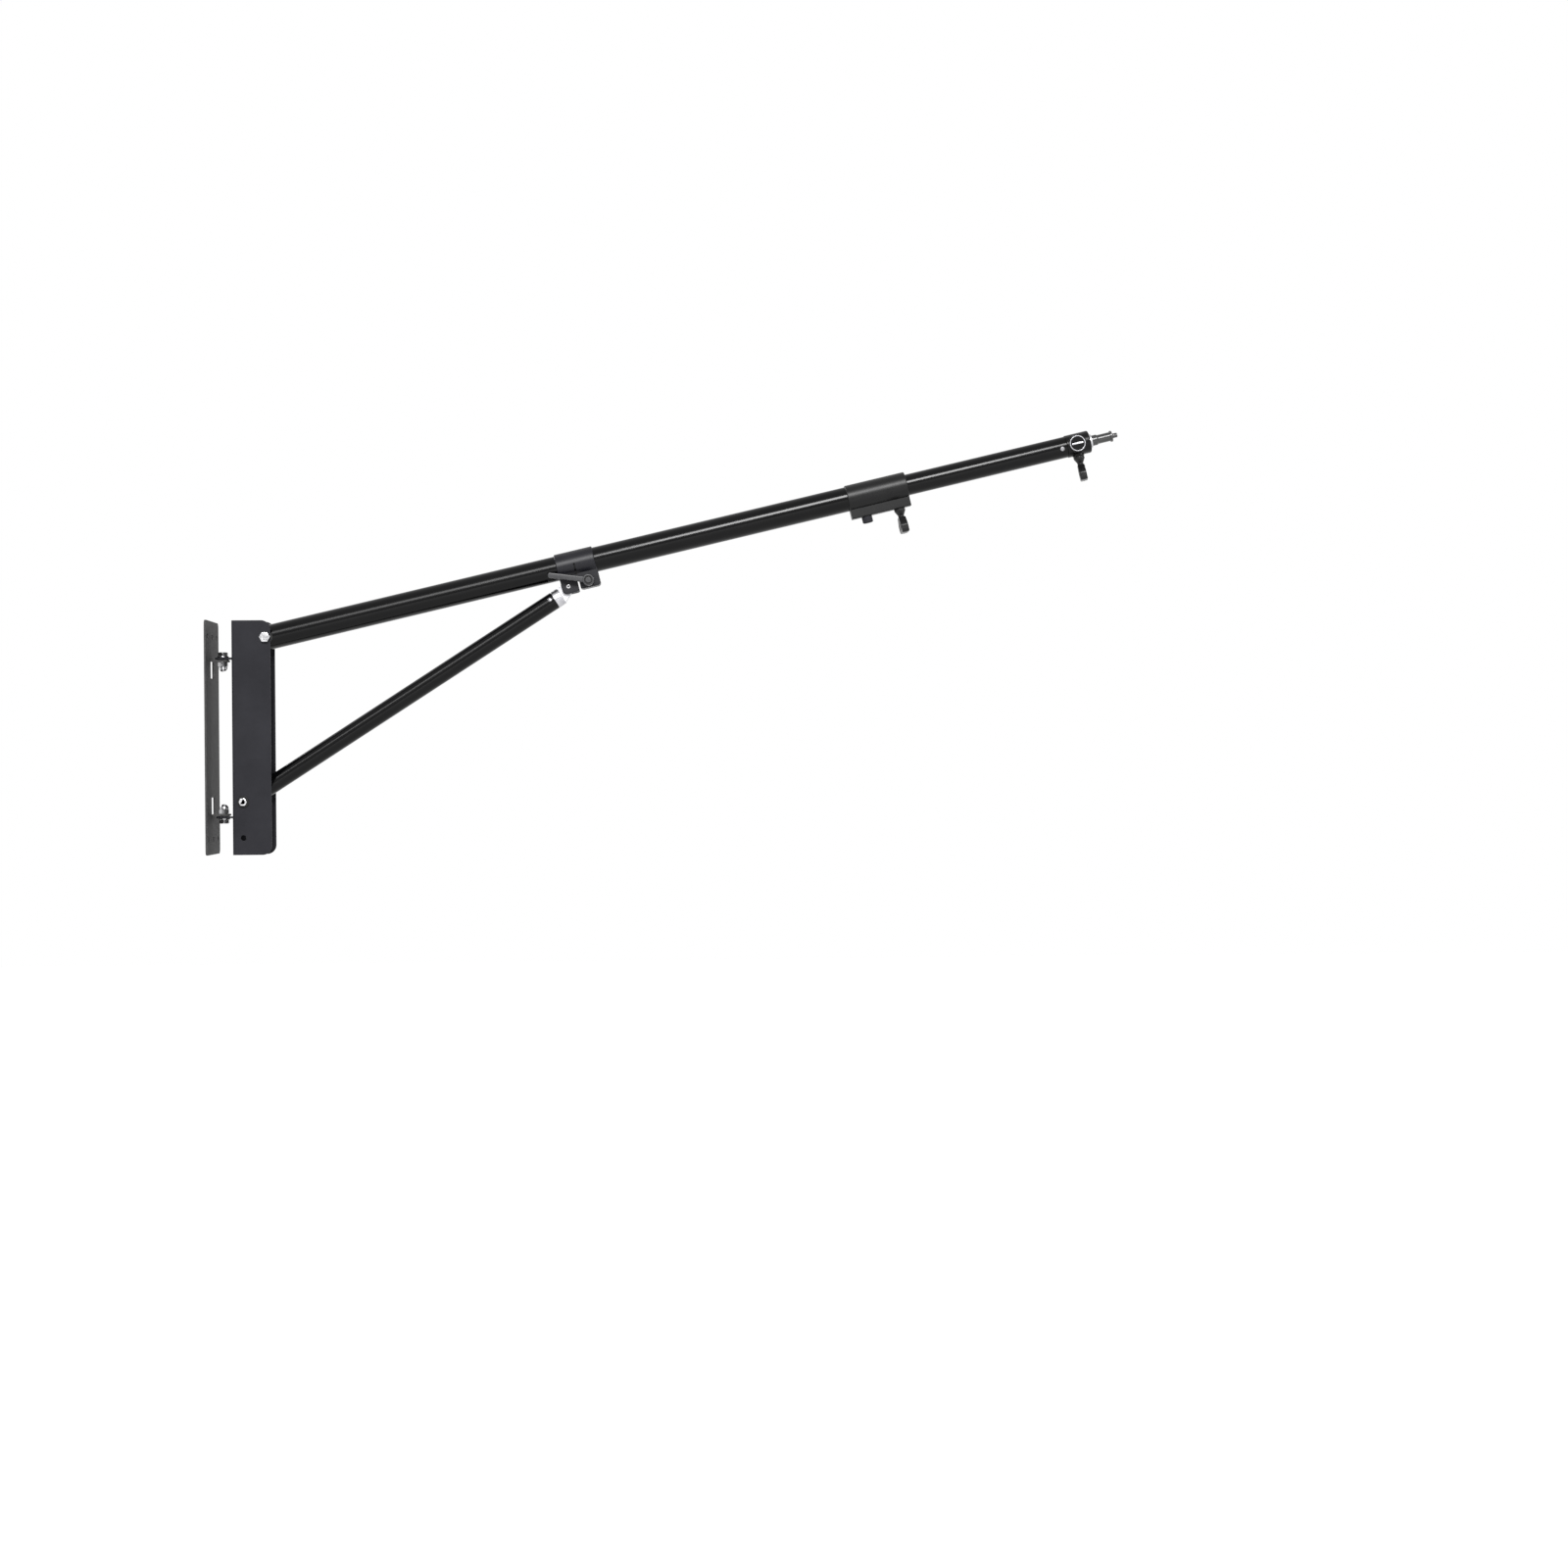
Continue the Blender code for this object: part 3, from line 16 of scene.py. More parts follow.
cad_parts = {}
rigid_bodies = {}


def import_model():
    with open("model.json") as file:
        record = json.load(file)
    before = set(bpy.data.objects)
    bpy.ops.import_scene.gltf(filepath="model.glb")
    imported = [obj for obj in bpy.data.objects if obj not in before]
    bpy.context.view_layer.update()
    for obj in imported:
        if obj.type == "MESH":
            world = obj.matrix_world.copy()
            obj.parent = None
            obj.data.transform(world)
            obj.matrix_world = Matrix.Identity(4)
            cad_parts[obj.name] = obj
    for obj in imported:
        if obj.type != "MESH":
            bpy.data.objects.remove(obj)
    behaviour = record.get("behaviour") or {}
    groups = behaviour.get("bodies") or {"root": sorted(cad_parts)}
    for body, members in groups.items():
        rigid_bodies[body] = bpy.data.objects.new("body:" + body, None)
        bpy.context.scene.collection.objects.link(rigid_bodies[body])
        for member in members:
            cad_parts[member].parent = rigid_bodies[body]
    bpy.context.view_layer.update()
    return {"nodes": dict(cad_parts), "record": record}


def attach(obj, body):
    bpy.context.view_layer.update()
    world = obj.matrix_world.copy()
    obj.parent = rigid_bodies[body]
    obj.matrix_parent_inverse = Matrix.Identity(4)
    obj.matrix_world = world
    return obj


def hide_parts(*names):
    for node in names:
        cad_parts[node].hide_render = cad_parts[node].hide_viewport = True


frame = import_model()
print("pieces to dress:", len(frame["nodes"]))

# %% [markdown]
# ## The camera
# The photograph was taken from in front, a little above the middle of the bracket, with a longish lens:
# the tubes keep almost the same width from end to end. The lens was worked out from that, and from how
# much of the wall plate's face shows. A tiny roll makes the uprights lean as they do in the picture.

# %% Camera
CAMERA_AT = Vector((0.6446, -3.700, -0.0481))
CAMERA_TURN_RIGHT = math.radians(2.495)
CAMERA_TURN_DOWN = math.radians(0.344)
CAMERA_ROLL = math.radians(-0.40)
FOCAL_PIXELS, PICTURE_PIXELS, SENSOR_WIDTH = 2662.0, 1600.0, 36


def in_scene(name, data):
    """A new object that holds this data."""
    thing = bpy.data.objects.new(name, data)
    bpy.context.collection.objects.link(thing)
    return thing


def camera_axes(right_turn, down_turn, roll):
    """The camera's right, up and back directions."""
    ahead = Vector((math.sin(right_turn) * math.cos(down_turn),
                    math.cos(right_turn) * math.cos(down_turn), -math.sin(down_turn)))
    level = Vector((math.cos(right_turn), -math.sin(right_turn), 0))
    upright = level.cross(ahead)
    right = math.cos(roll) * level + math.sin(roll) * upright
    return right, ahead.cross(-right), -ahead


camera_data = bpy.data.cameras.new("camera")
camera_data.sensor_width = SENSOR_WIDTH
camera_data.lens = SENSOR_WIDTH * FOCAL_PIXELS / PICTURE_PIXELS
camera_data.clip_end = 60
camera = in_scene("camera", camera_data)
axes = camera_axes(CAMERA_TURN_RIGHT, CAMERA_TURN_DOWN, CAMERA_ROLL)
camera.matrix_world = Matrix.Translation(CAMERA_AT) @ Matrix(axes).transposed().to_4x4()
bpy.context.scene.camera = camera
print("lens in mm:", round(camera_data.lens, 1))

# %% [markdown]
# ## A short way to write nodes
# The world, the finishes and the shapes that follow a rule are all trees of nodes. One call makes a node,
# sets it and fills its sockets, each with a value or with a link from another node. Arithmetic on two
# values and a stretch between two limits return so often that they have names of their own.

# %% Node helpers
def feed(tree, node, sockets):
    """Each socket of a node gets a value, or a link from another node's output."""
    for key, value in sockets.items():
        if isinstance(value, bpy.types.NodeSocket):
            tree.links.new(value, node.inputs[key])
        else:
            node.inputs[key].default_value = value
    return node


def add(tree, kind, sockets=None, **settings):
    """The outputs of a new node."""
    node = tree.nodes.new(kind)
    for name, value in settings.items():
        setattr(node, name, value)
    return feed(tree, node, sockets or {}).outputs


def combine(tree, operation, first, second):
    return add(tree, "ShaderNodeMath", {0: first, 1: second}, operation=operation)[0]


def ramp(tree, value, low, high, to_low=0.0, to_high=1.0):
    """A value stretched between two limits."""
    limits = {"From Min": low, "From Max": high, "To Min": to_low, "To Max": to_high}
    return add(tree, "ShaderNodeMapRange", {"Value": value, **limits})["Result"]


def new_tree(name, kind, inputs, outputs):
    """A node tree, its inputs and its output node. An input without a value takes a material."""
    tree = bpy.data.node_groups.new(name, kind)
    for label, value in inputs.items():
        socket_type = "NodeSocketMaterial" if value is None else "NodeSocketFloat"
        socket = tree.interface.new_socket(label, in_out="INPUT", socket_type=socket_type)
        if value is not None:
            socket.default_value = value
    for label, socket_type in outputs.items():
        tree.interface.new_socket(label, in_out="OUTPUT", socket_type=f"NodeSocket{socket_type}")
    return tree, tree.nodes.new("NodeGroupInput").outputs, tree.nodes.new("NodeGroupOutput")


print("node helpers:", [helper.__name__ for helper in (feed, add, combine, ramp, new_tree)])

# %% [markdown]
# ## Floor, world and lamps
# The picture has a white background with no wall in it. The world is white to the camera and in
# reflections, and dimmer as light. The floor is pale and keeps a soft shadow, and it glows a little more
# far away, so that no horizon shows. A gloss black tube shows little but the lamp that it mirrors, so the
# place of a lamp decides where the bright line on the tubes runs. The main lamp is far off and above the
# camera, where the right half of the boom mirrors it. Two dimmer ones further left do the same for the
# left half and for the brace, and a soft box lights the plate from its side. Two more light the back.
# They stand far out to the left and the right, where no tube mirrors them into the picture: a lamp
# straight behind the arm would put a bright rim along every tube.

# %% Stage
FLOOR_HEIGHT, FLOOR_REACH, FLOOR_COLOUR = -1.35, 14, (0.75, 0.75, 0.75, 1)
GLOW_FROM, GLOW_TO, FAINT_GLOW = 3.0, 9.0, 0.63
WORLD_LIGHT = 0.12


def white_world():
    world = bpy.data.worlds.new("studio")
    world.use_nodes = True
    tree = world.node_tree
    path = add(tree, "ShaderNodeLightPath")
    mirrored = combine(tree, "MAXIMUM", path["Is Glossy Ray"], path["Is Transmission Ray"])
    seen = combine(tree, "MAXIMUM", path["Is Camera Ray"], mirrored)
    strength = ramp(tree, seen, 0.0, 1.0, WORLD_LIGHT, 1.0)
    feed(tree, tree.nodes["Background"], {"Color": (1, 1, 1, 1), "Strength": strength})
    bpy.context.scene.world = world


def pale_floor():
    mesh = bpy.data.meshes.new("floor")
    signs = (-1, -1), (1, -1), (1, 1), (-1, 1)
    mesh.from_pydata([(x * FLOOR_REACH, y * FLOOR_REACH, FLOOR_HEIGHT) for x, y in signs], [], [(0, 1, 2, 3)])
    floor = in_scene("floor", mesh)
    material = bpy.data.materials.new("pale floor")
    material.use_nodes = True
    tree = material.node_tree
    tree.nodes.remove(tree.nodes["Principled BSDF"])
    path = add(tree, "ShaderNodeLightPath")
    seen = combine(tree, "MAXIMUM", path["Is Camera Ray"], path["Is Glossy Ray"])
    place = add(tree, "ShaderNodeTexCoord")["Object"]
    distance = add(tree, "ShaderNodeVectorMath", {0: place}, operation="LENGTH")["Value"]
    further = ramp(tree, distance, GLOW_FROM, GLOW_TO, FAINT_GLOW, 1.0)
    matt = add(tree, "ShaderNodeBsdfDiffuse", {"Color": FLOOR_COLOUR})[0]
    glow = add(tree, "ShaderNodeEmission", {"Strength": combine(tree, "MULTIPLY", seen, further)})[0]
    both = add(tree, "ShaderNodeAddShader", {0: matt, 1: glow})[0]
    feed(tree, tree.nodes["Material Output"], {"Surface": both})
    mesh.materials.append(material)


def soft_box(name, middle, aim, length, height, power):
    lamp = bpy.data.lights.new(name, "AREA")
    lamp.shape = "RECTANGLE"
    lamp.size, lamp.size_y, lamp.energy = length, height, power
    back = (Vector(middle) - Vector(aim)).normalized()
    side = Vector((0, 0, 1)).cross(back).normalized()
    turn = Matrix((side, back.cross(side), back)).transposed().to_4x4()
    in_scene(name, lamp).matrix_world = Matrix.Translation(middle) @ turn


white_world()
pale_floor()
soft_box("main lamp", (0.70, -12.3, 6.8), (0.75, 0, 0.30), 3.0, 4.2, 1950)
soft_box("left lamp", (-2.40, -12.3, 7.2), (0.30, 0, 0.15), 3.0, 3.8, 370)
soft_box("brace lamp", (-5.60, -11.2, 7.6), (0.30, 0, 0.05), 2.4, 3.0, 240)
soft_box("side box", (5.20, -3.40, 1.60), (0.10, 0, 0.00), 2.2, 2.2, 80)
for word, across in (("right", 7.50), ("left", -6.00)):
    soft_box(f"back {word} lamp", (across, 7.00, 3.60), (0.60, 0, 0.15), 3.0, 3.0, 280)
bpy.context.scene.view_settings.view_transform = "Standard"
print("lamps:", [lamp.name for lamp in bpy.data.lights])

# %% [markdown]
# ## Shared surface effects
# Four small effects return in all of the finishes, so each is a node group that is made once: a fine
# grain, large faint clouds, wear on sharp edges, and dust that settles on what faces up. Each puts out a
# mask or a normal, and the material decides what to do with it.

# %% Shader groups
def noise(tree, scale, detail, roughness=0.5):
    place = add(tree, "ShaderNodeTexCoord")["Object"]
    sockets = {"Vector": place, "Scale": scale, "Detail": detail, "Roughness": roughness}
    return add(tree, "ShaderNodeTexNoise", sockets)["Fac"]


def grain_group():
    """Fine even bumps, such as powder coat or moulded plastic has, with a mask of the same pattern."""
    group, start, end = new_tree("fine grain", "ShaderNodeTree", {"Grain Size": 0.001, "Bump": 0.1},
                                 {"Mask": "Float", "Normal": "Vector"})
    specks = noise(group, combine(group, "DIVIDE", 1.0, start["Grain Size"]), 3, 0.6)
    bump = add(group, "ShaderNodeBump", {"Distance": 0.0003, "Strength": start["Bump"], "Height": specks})
    feed(group, end, {"Mask": ramp(group, specks, 0.35, 0.65), "Normal": bump["Normal"]})
    return group


def cloud_group():
    """Large faint clouds, with finer ones in them: coating, handling marks and dust are never even."""
    group, start, end = new_tree("clouds", "ShaderNodeTree", {"Cloud Size": 0.05}, {"Mask": "Float"})
    clouds = noise(group, combine(group, "DIVIDE", 1.0, start["Cloud Size"]), 6, 0.65)
    feed(group, end, {"Mask": ramp(group, clouds, 0.32, 0.68)})
    return group


def edge_group():
    """Where a surface turns sharply. A bevel that is only shading is compared with the true normal."""
    group, start, end = new_tree("worn edges", "ShaderNodeTree", {"Edge Width": 0.0006, "Break Size": 0.004},
                                 {"Mask": "Float"})
    soft = add(group, "ShaderNodeBevel", {"Radius": start["Edge Width"]}, samples=4)["Normal"]
    true = add(group, "ShaderNodeNewGeometry")["Normal"]
    match = add(group, "ShaderNodeVectorMath", {0: soft, 1: true}, operation="DOT_PRODUCT")["Value"]
    edge = ramp(group, match, 0.995, 0.90)
    broken = ramp(group, noise(group, combine(group, "DIVIDE", 1.0, start["Break Size"]), 4), 0.48, 0.62)
    feed(group, end, {"Mask": combine(group, "MULTIPLY", edge, broken)})
    return group


def dust_group():
    """Fine dust on what faces up, gathered in specks."""
    group, start, end = new_tree("dust", "ShaderNodeTree", {"Amount": 0.2}, {"Mask": "Float"})
    true = add(group, "ShaderNodeNewGeometry")["Normal"]
    up = ramp(group, add(group, "ShaderNodeSeparateXYZ", {0: true})["Z"], 0.35, 1.0)
    settled = combine(group, "MULTIPLY", up, ramp(group, noise(group, 900, 5), 0.45, 0.75))
    feed(group, end, {"Mask": combine(group, "MULTIPLY", settled, start["Amount"])})
    return group


GRAIN, CLOUDS, WORN_EDGES, DUST = grain_group(), cloud_group(), edge_group(), dust_group()
print("shared effects:", [group.name for group in (GRAIN, CLOUDS, WORN_EDGES, DUST)])

# %% [markdown]
# ## Finishes
# One function builds every finish from the same recipe, because all of these surfaces are the same kind
# of thing: a base colour that drifts a little in clouds, worn edges that show what is below, a film of
# dust on top, and a roughness that follows all three. The numbers make them differ: a gloss tube has
# almost no grain, powder coat has a fine one, and a casting has a coarse one.

# %% Finish recipe
EDGE_WIDTH, BARE_METAL, DUST_COLOUR = 0.0005, (0.30, 0.30, 0.31), (0.42, 0.40, 0.38)


def blended(tree, mask, below, above):
    """One colour laid over another where the mask is high."""
    below, above = [(*colour, 1) if isinstance(colour, tuple) else colour for colour in (below, above)]
    return add(tree, "ShaderNodeMix", {"Factor": mask, "A": below, "B": above}, data_type="RGBA")["Result"]


def finish(name, dark, light, rough, metal=0.0, shine=0.5, clouds=0.02, grain=0.0005, bump=0.02,
           worn=BARE_METAL, wear=0.25, dust=0.02):
    """A material. Its colour drifts from dark to light, and rough is its lowest and highest roughness."""
    material = bpy.data.materials.new(name)
    material.use_nodes = True
    tree = material.node_tree

    def effect(group, sockets):
        return add(tree, "ShaderNodeGroup", sockets, node_tree=group)

    drift = effect(CLOUDS, {"Cloud Size": clouds})["Mask"]
    bumps = effect(GRAIN, {"Grain Size": grain, "Bump": bump})
    edges = combine(tree, "MULTIPLY", effect(WORN_EDGES, {"Edge Width": EDGE_WIDTH})["Mask"], wear)
    film = effect(DUST, {"Amount": dust})["Mask"]
    colour = blended(tree, edges, blended(tree, drift, dark, light), worn)
    uneven = combine(tree, "ADD", combine(tree, "MULTIPLY", drift, 0.6),
                     combine(tree, "MULTIPLY", bumps["Mask"], 0.4))
    roughness = combine(tree, "ADD", ramp(tree, uneven, 0.0, 1.0, *rough), film)
    feed(tree, tree.nodes["Principled BSDF"],
         {"Base Color": blended(tree, film, colour, DUST_COLOUR), "Roughness": roughness,
          "Normal": bumps["Normal"], "Metallic": metal, "Specular IOR Level": shine})
    return material


plate_coat = finish("plate powder coat", (0.036, 0.036, 0.037), (0.063, 0.062, 0.062),
                    (0.55, 0.75), shine=0.10, clouds=0.018, grain=0.0006, bump=0.15, wear=0.30, dust=0.06)
channel_coat = finish("channel powder coat", (0.017, 0.017, 0.020), (0.024, 0.024, 0.028),
                      (0.46, 0.58), shine=0.05, clouds=0.06, bump=0.06, dust=0.04)
gloss_paint = finish("gloss black tube paint", (0.0008, 0.0008, 0.0010),
                     (0.0018, 0.0018, 0.0020), (0.16, 0.18), shine=0.15, clouds=0.09, grain=0.02, bump=0.0,
                     wear=0.05, dust=0.004)
satin_black = finish("satin black casting", (0.0012, 0.0012, 0.0014),
                     (0.0026, 0.0026, 0.0028), (0.34, 0.40), shine=0.22, clouds=0.03, grain=0.0006, wear=0.12)
head_paint = finish("black head paint", (0.0010, 0.0010, 0.0012), (0.0022, 0.0022, 0.0024),
                    (0.22, 0.28), shine=0.16, clouds=0.03, grain=0.0006, bump=0.01, wear=0.10, dust=0.01)
satin_grey = finish("satin grey casting", (0.005, 0.005, 0.007), (0.009, 0.009, 0.012),
                    (0.34, 0.40), shine=0.21, clouds=0.03, wear=0.16)
lever_grey = finish("lever grey", (0.022, 0.022, 0.024), (0.036, 0.036, 0.039),
                    (0.32, 0.40), shine=0.35)
black_plastic = finish("moulded black plastic", (0.002, 0.002, 0.0022),
                       (0.005, 0.005, 0.0053), (0.30, 0.38), shine=0.24, wear=0.05)
dark_nylon = finish("dark nylon", (0.012, 0.012, 0.012), (0.020, 0.020, 0.020), (0.50, 0.62),
                    shine=0.2, clouds=0.01, bump=0.03, wear=0.05)
black_steel = finish("blackened steel", (0.004, 0.004, 0.004), (0.010, 0.010, 0.010),
                     (0.22, 0.28), shine=0.7, clouds=0.01, wear=0.3, dust=0.01)
bright_zinc = finish("bright zinc", (0.42, 0.42, 0.43), (0.60, 0.60, 0.61), (0.18, 0.30),
                     metal=1.0, clouds=0.006, grain=0.0007, bump=0.03, worn=(0.8, 0.8, 0.8), wear=0.2,
                     dust=0.03)
bright_aluminium = finish("turned aluminium", (0.36, 0.36, 0.38), (0.50, 0.50, 0.51),
                          (0.30, 0.42), metal=1.0, clouds=0.008, grain=0.0006, bump=0.03,
                          worn=(0.85, 0.85, 0.85), wear=0.2, dust=0.03)
grey_aluminium = finish("dull aluminium", (0.20, 0.20, 0.21), (0.30, 0.30, 0.31),
                        (0.34, 0.46), metal=1.0, clouds=0.004, grain=0.0006, bump=0.03,
                        worn=(0.6, 0.6, 0.6), wear=0.3, dust=0.03)

# %% [markdown]
# ## Sizes
# The sizes are the model's own, in metres. Lengths along the boom are counted from its pivot. Each
# moving piece is drawn in the frame of the thing that it sits on, so a bolt or a knob is drawn once,
# along +X, and then placed.

# %% Sizes and frames
GAP = 0.0003
SHEET, FOLD_RADIUS, PUNCH_CLEARANCE = 0.0025, 0.001, 0.0007
PLATE_WIDTH, PLATE_HEIGHT, PLATE_CORNER = 0.104, 0.3275, 0.007
SCREW_HOLE, SCREW_APART, SCREW_INSET = 0.00375, 0.037, 0.0218
TAB_HEIGHT, TAB_WIDTH, TAB_REACH, TAB_CORNER = 0.108, 0.024, 0.026, 0.005
SWIVEL_FROM_WALL = 0.0177
BRACKET_BACK, BRACKET_DEPTH, BRACKET_WIDTH, BRACKET_HEIGHT = 0.0326, 0.0543, 0.044, 0.3284
BRACKET_CORNER, LUG_WIDTH, LUG_PAST_AXIS = 0.013, 0.022, 0.011
BOOM_PIVOT = Vector((0.0795, 0, 0.1405))
BRACE_PIVOT = Vector((0.0477, 0, -0.0900))
SPARE_HOLE = Vector((0.0477, 0, -0.1403))
BOOM_TILT, BRACE_LENGTH, BRACE_PIN_RISE, PIN_BELOW_AXIS = math.radians(13.25), 0.5456, 0.005, 0.029
BOOM_RADIUS, BOOM_BORE, BOOM_START, BOOM_END = 0.0175, 0.0163, -0.022, 0.9212
EXTENSION_RADIUS, EXTENSION_BORE = 0.015, 0.0138
EXTENSION_START, EXTENSION_END = 0.334, 1.1628
BRACE_RADIUS, BRACE_BORE = 0.0125, 0.011
FLANGE_OUT, FLANGE_IN = BRACKET_WIDTH / 2, BRACKET_WIDTH / 2 - SHEET
M8_HOLE, M6_HOLE, M5_HOLE, RIVET_HOLE = 0.0043, 0.0033, 0.0028, 0.0019


def directions(angle):
    """Along a line that rises by this angle, and square to it."""
    return Vector((math.cos(angle), 0, math.sin(angle))), Vector((-math.sin(angle), 0, math.cos(angle)))


def collar_frame():
    """The collar is where a brace of its length reaches the boom, and the brace points at its pivot."""
    along, across = directions(BOOM_TILT)
    between = BOOM_PIVOT - BRACE_PIVOT
    rise = between.dot(across) - PIN_BELOW_AXIS
    place = -between.dot(along) + math.sqrt(BRACE_LENGTH**2 - rise**2)
    line = BOOM_PIVOT + place * along - PIN_BELOW_AXIS * across - BRACE_PIVOT
    return place, math.atan2(line.z, line.x) - math.asin(BRACE_PIN_RISE / BRACE_LENGTH)


COLLAR_AT, BRACE_TILT = collar_frame()


def turned_about(axis, angle):
    return Matrix.Rotation(angle, 4, axis)


def moved(x=0.0, y=0.0, z=0.0):
    return Matrix.Translation((x, y, z))


TO_RIGHT, TO_LEFT, BACK_TO_FRONT = [turned_about("Z", turn * math.pi) for turn in (0.5, -0.5, 1)]
TO_DOWN, TO_UP = turned_about("Y", math.pi / 2), turned_about("Y", -math.pi / 2)
SWIVEL = moved(SWIVEL_FROM_WALL)
BOOM = Matrix.Translation(BOOM_PIVOT) @ turned_about("Y", -BOOM_TILT)
COLLAR = BOOM @ moved(COLLAR_AT)
BRACE = COLLAR @ moved(z=-PIN_BELOW_AXIS) @ turned_about("Y", BOOM_TILT - BRACE_TILT)
print("collar from the pivot, brace angle:", round(COLLAR_AT, 4), round(math.degrees(BRACE_TILT), 2))

# %% [markdown]
# ## Helpers for the shapes
# Nearly everything here is turned on a lathe, bent from sheet or sawn from bar. So there are three
# ways to make a solid: spin a profile, extrude an outline, and cut or join two solids. The corners of a
# profile are rounded before it is spun or extruded, because a small radius on each edge is what makes a
# real part catch the light.

# %% Outlines
ROUND, SMALL_ROUND = 96, 48


def arc(centre, radius, start, end, steps):
    turns = [math.radians(start + (end - start) * i / steps) for i in range(steps + 1)]
    return [(centre[0] + radius * math.cos(t), centre[1] + radius * math.sin(t)) for t in turns]


def eased(corners, steps=4, closed=True):
    """An outline through (x, y, radius) corners, each rounded by its radius."""
    points = []
    last = len(corners) - 1
    for i, (x, y, radius) in enumerate(corners):
        if radius == 0 or (not closed and i in (0, last)):
            points.append((x, y))
            continue
        here = Vector((x, y))
        back = (Vector(corners[i - 1][:2]) - here).normalized()
        ahead = (Vector(corners[(i + 1) % len(corners)][:2]) - here).normalized()
        half = back.angle(ahead) / 2
        centre = here + (back + ahead).normalized() * radius / math.sin(half)
        first = here + back * radius / math.tan(half) - centre
        final = here + ahead * radius / math.tan(half) - centre
        start = math.atan2(first.y, first.x)
        sweep = math.remainder(math.atan2(final.y, final.x) - start, math.tau)
        points += arc(centre, radius, math.degrees(start), math.degrees(start + sweep), steps)
    return points


def block(low, high, radii=(0, 0, 0, 0), steps=4):
    """A rectangle's outline between two corners, with a radius for each, counted from the low one."""
    (left, bottom), (right, top) = low, high
    return eased(list(zip((left, right, right, left), (bottom, bottom, top, top), radii)), steps)


def hexagon(flats):
    return arc((0, 0), flats / math.sqrt(3), 0, 300, 5)


print("points on a rounded square:", len(block((0, 0), (1, 1), [0.1] * 4)))

# %% [markdown]
# ## Solids
# Blender's mesh tools spin and extrude, and its Boolean modifier cuts and joins. A Boolean is fussy: it
# wants closed solids whose faces point outwards, so each helper mends its own normals. A cutter always
# reaches a little past the surface that it cuts.

# %% Solids
def lathe(corners, steps=SMALL_ROUND, soft=0.0, ring=False, ease=3):
    """(along, radius) or (along, radius, easing) corners spun round X. A ring keeps its hole, and anything
    else is closed on the axis. A corner without an easing of its own gets soft."""
    corners = [(*corner, soft)[:3] for corner in corners]
    if not ring:
        corners = [(corners[0][0], 0, 0), *corners, (corners[-1][0], 0, 0)]
    profile = dict.fromkeys(eased(corners, ease, ring))
    bm = bmesh.new()
    verts = [bm.verts.new((along, radius, 0)) for along, radius in profile]
    edges = [bm.edges.new(pair) for pair in zip(verts, verts[1:])]
    if ring:
        edges.append(bm.edges.new((verts[-1], verts[0])))
    bmesh.ops.spin(bm, geom=verts + edges, cent=(0, 0, 0), axis=(1, 0, 0), angle=math.tau, steps=steps,
                   use_merge=True, use_duplicate=False)
    bmesh.ops.remove_doubles(bm, verts=bm.verts, dist=1e-6)
    bmesh.ops.recalc_face_normals(bm, faces=bm.faces)
    return bm


def rod(start, end, radius, steps=SMALL_ROUND, soft=0.0):
    return lathe([(start, radius), (end, radius)], steps, soft)


def sleeve(start, end, bore, radius, steps=SMALL_ROUND, soft=0.0):
    return lathe([(start, bore), (start, radius), (end, radius), (end, bore)], steps, soft, ring=True)


def bevel(bm, edges, offset, segments=2, clamp=True):
    bmesh.ops.bevel(bm, geom=edges, offset=offset, offset_type="OFFSET", segments=segments, profile=0.5,
                    affect="EDGES", clamp_overlap=clamp)


def slab(outline, low, high, axis, soft=0.0):
    """An outline extruded along an axis: (y, z) along X, (x, z) along Y, (x, y) along Z. Its two faces
    get a small bevel."""
    n = "XYZ".index(axis)
    along = Vector([float(i == n) for i in range(3)])
    bm = bmesh.new()
    face = bm.faces.new([bm.verts.new((*point[:n], low, *point[n:])) for point in outline])
    new = bmesh.ops.extrude_face_region(bm, geom=[face])["geom"]
    ends = [v for v in new if isinstance(v, bmesh.types.BMVert)]
    bmesh.ops.translate(bm, verts=ends, vec=along * (high - low))
    bmesh.ops.recalc_face_normals(bm, faces=bm.faces)
    if soft:
        bevel(bm, [e for e in bm.edges if abs((e.verts[0].co - e.verts[1].co).dot(along)) < 1e-7], soft)
    return bm


def placed(bm, matrix):
    bm.transform(matrix)
    if matrix.determinant() < 0:
        bmesh.ops.reverse_faces(bm, faces=bm.faces)
    return bm


def drill(radius, *matrices, start=0.0, end=0.06):
    return [placed(rod(start, end, radius), matrix) for matrix in matrices]


def as_mesh(bm, name="scratch"):
    mesh = bpy.data.meshes.new(name)
    bm.to_mesh(mesh)
    bm.free()
    return mesh


def as_solid(mesh):
    bm = bmesh.new()
    bm.from_mesh(mesh)
    bpy.data.meshes.remove(mesh)
    return bm


def joined(*solids):
    """Several solids in one mesh, still separate bodies."""
    whole = bmesh.new()
    for mesh in map(as_mesh, solids):
        whole.from_mesh(mesh)
        bpy.data.meshes.remove(mesh)
    return whole


def baked(thing):
    """The plain mesh that an object and its modifiers make."""
    graph = bpy.context.evaluated_depsgraph_get()
    return bpy.data.meshes.new_from_object(thing.evaluated_get(graph))


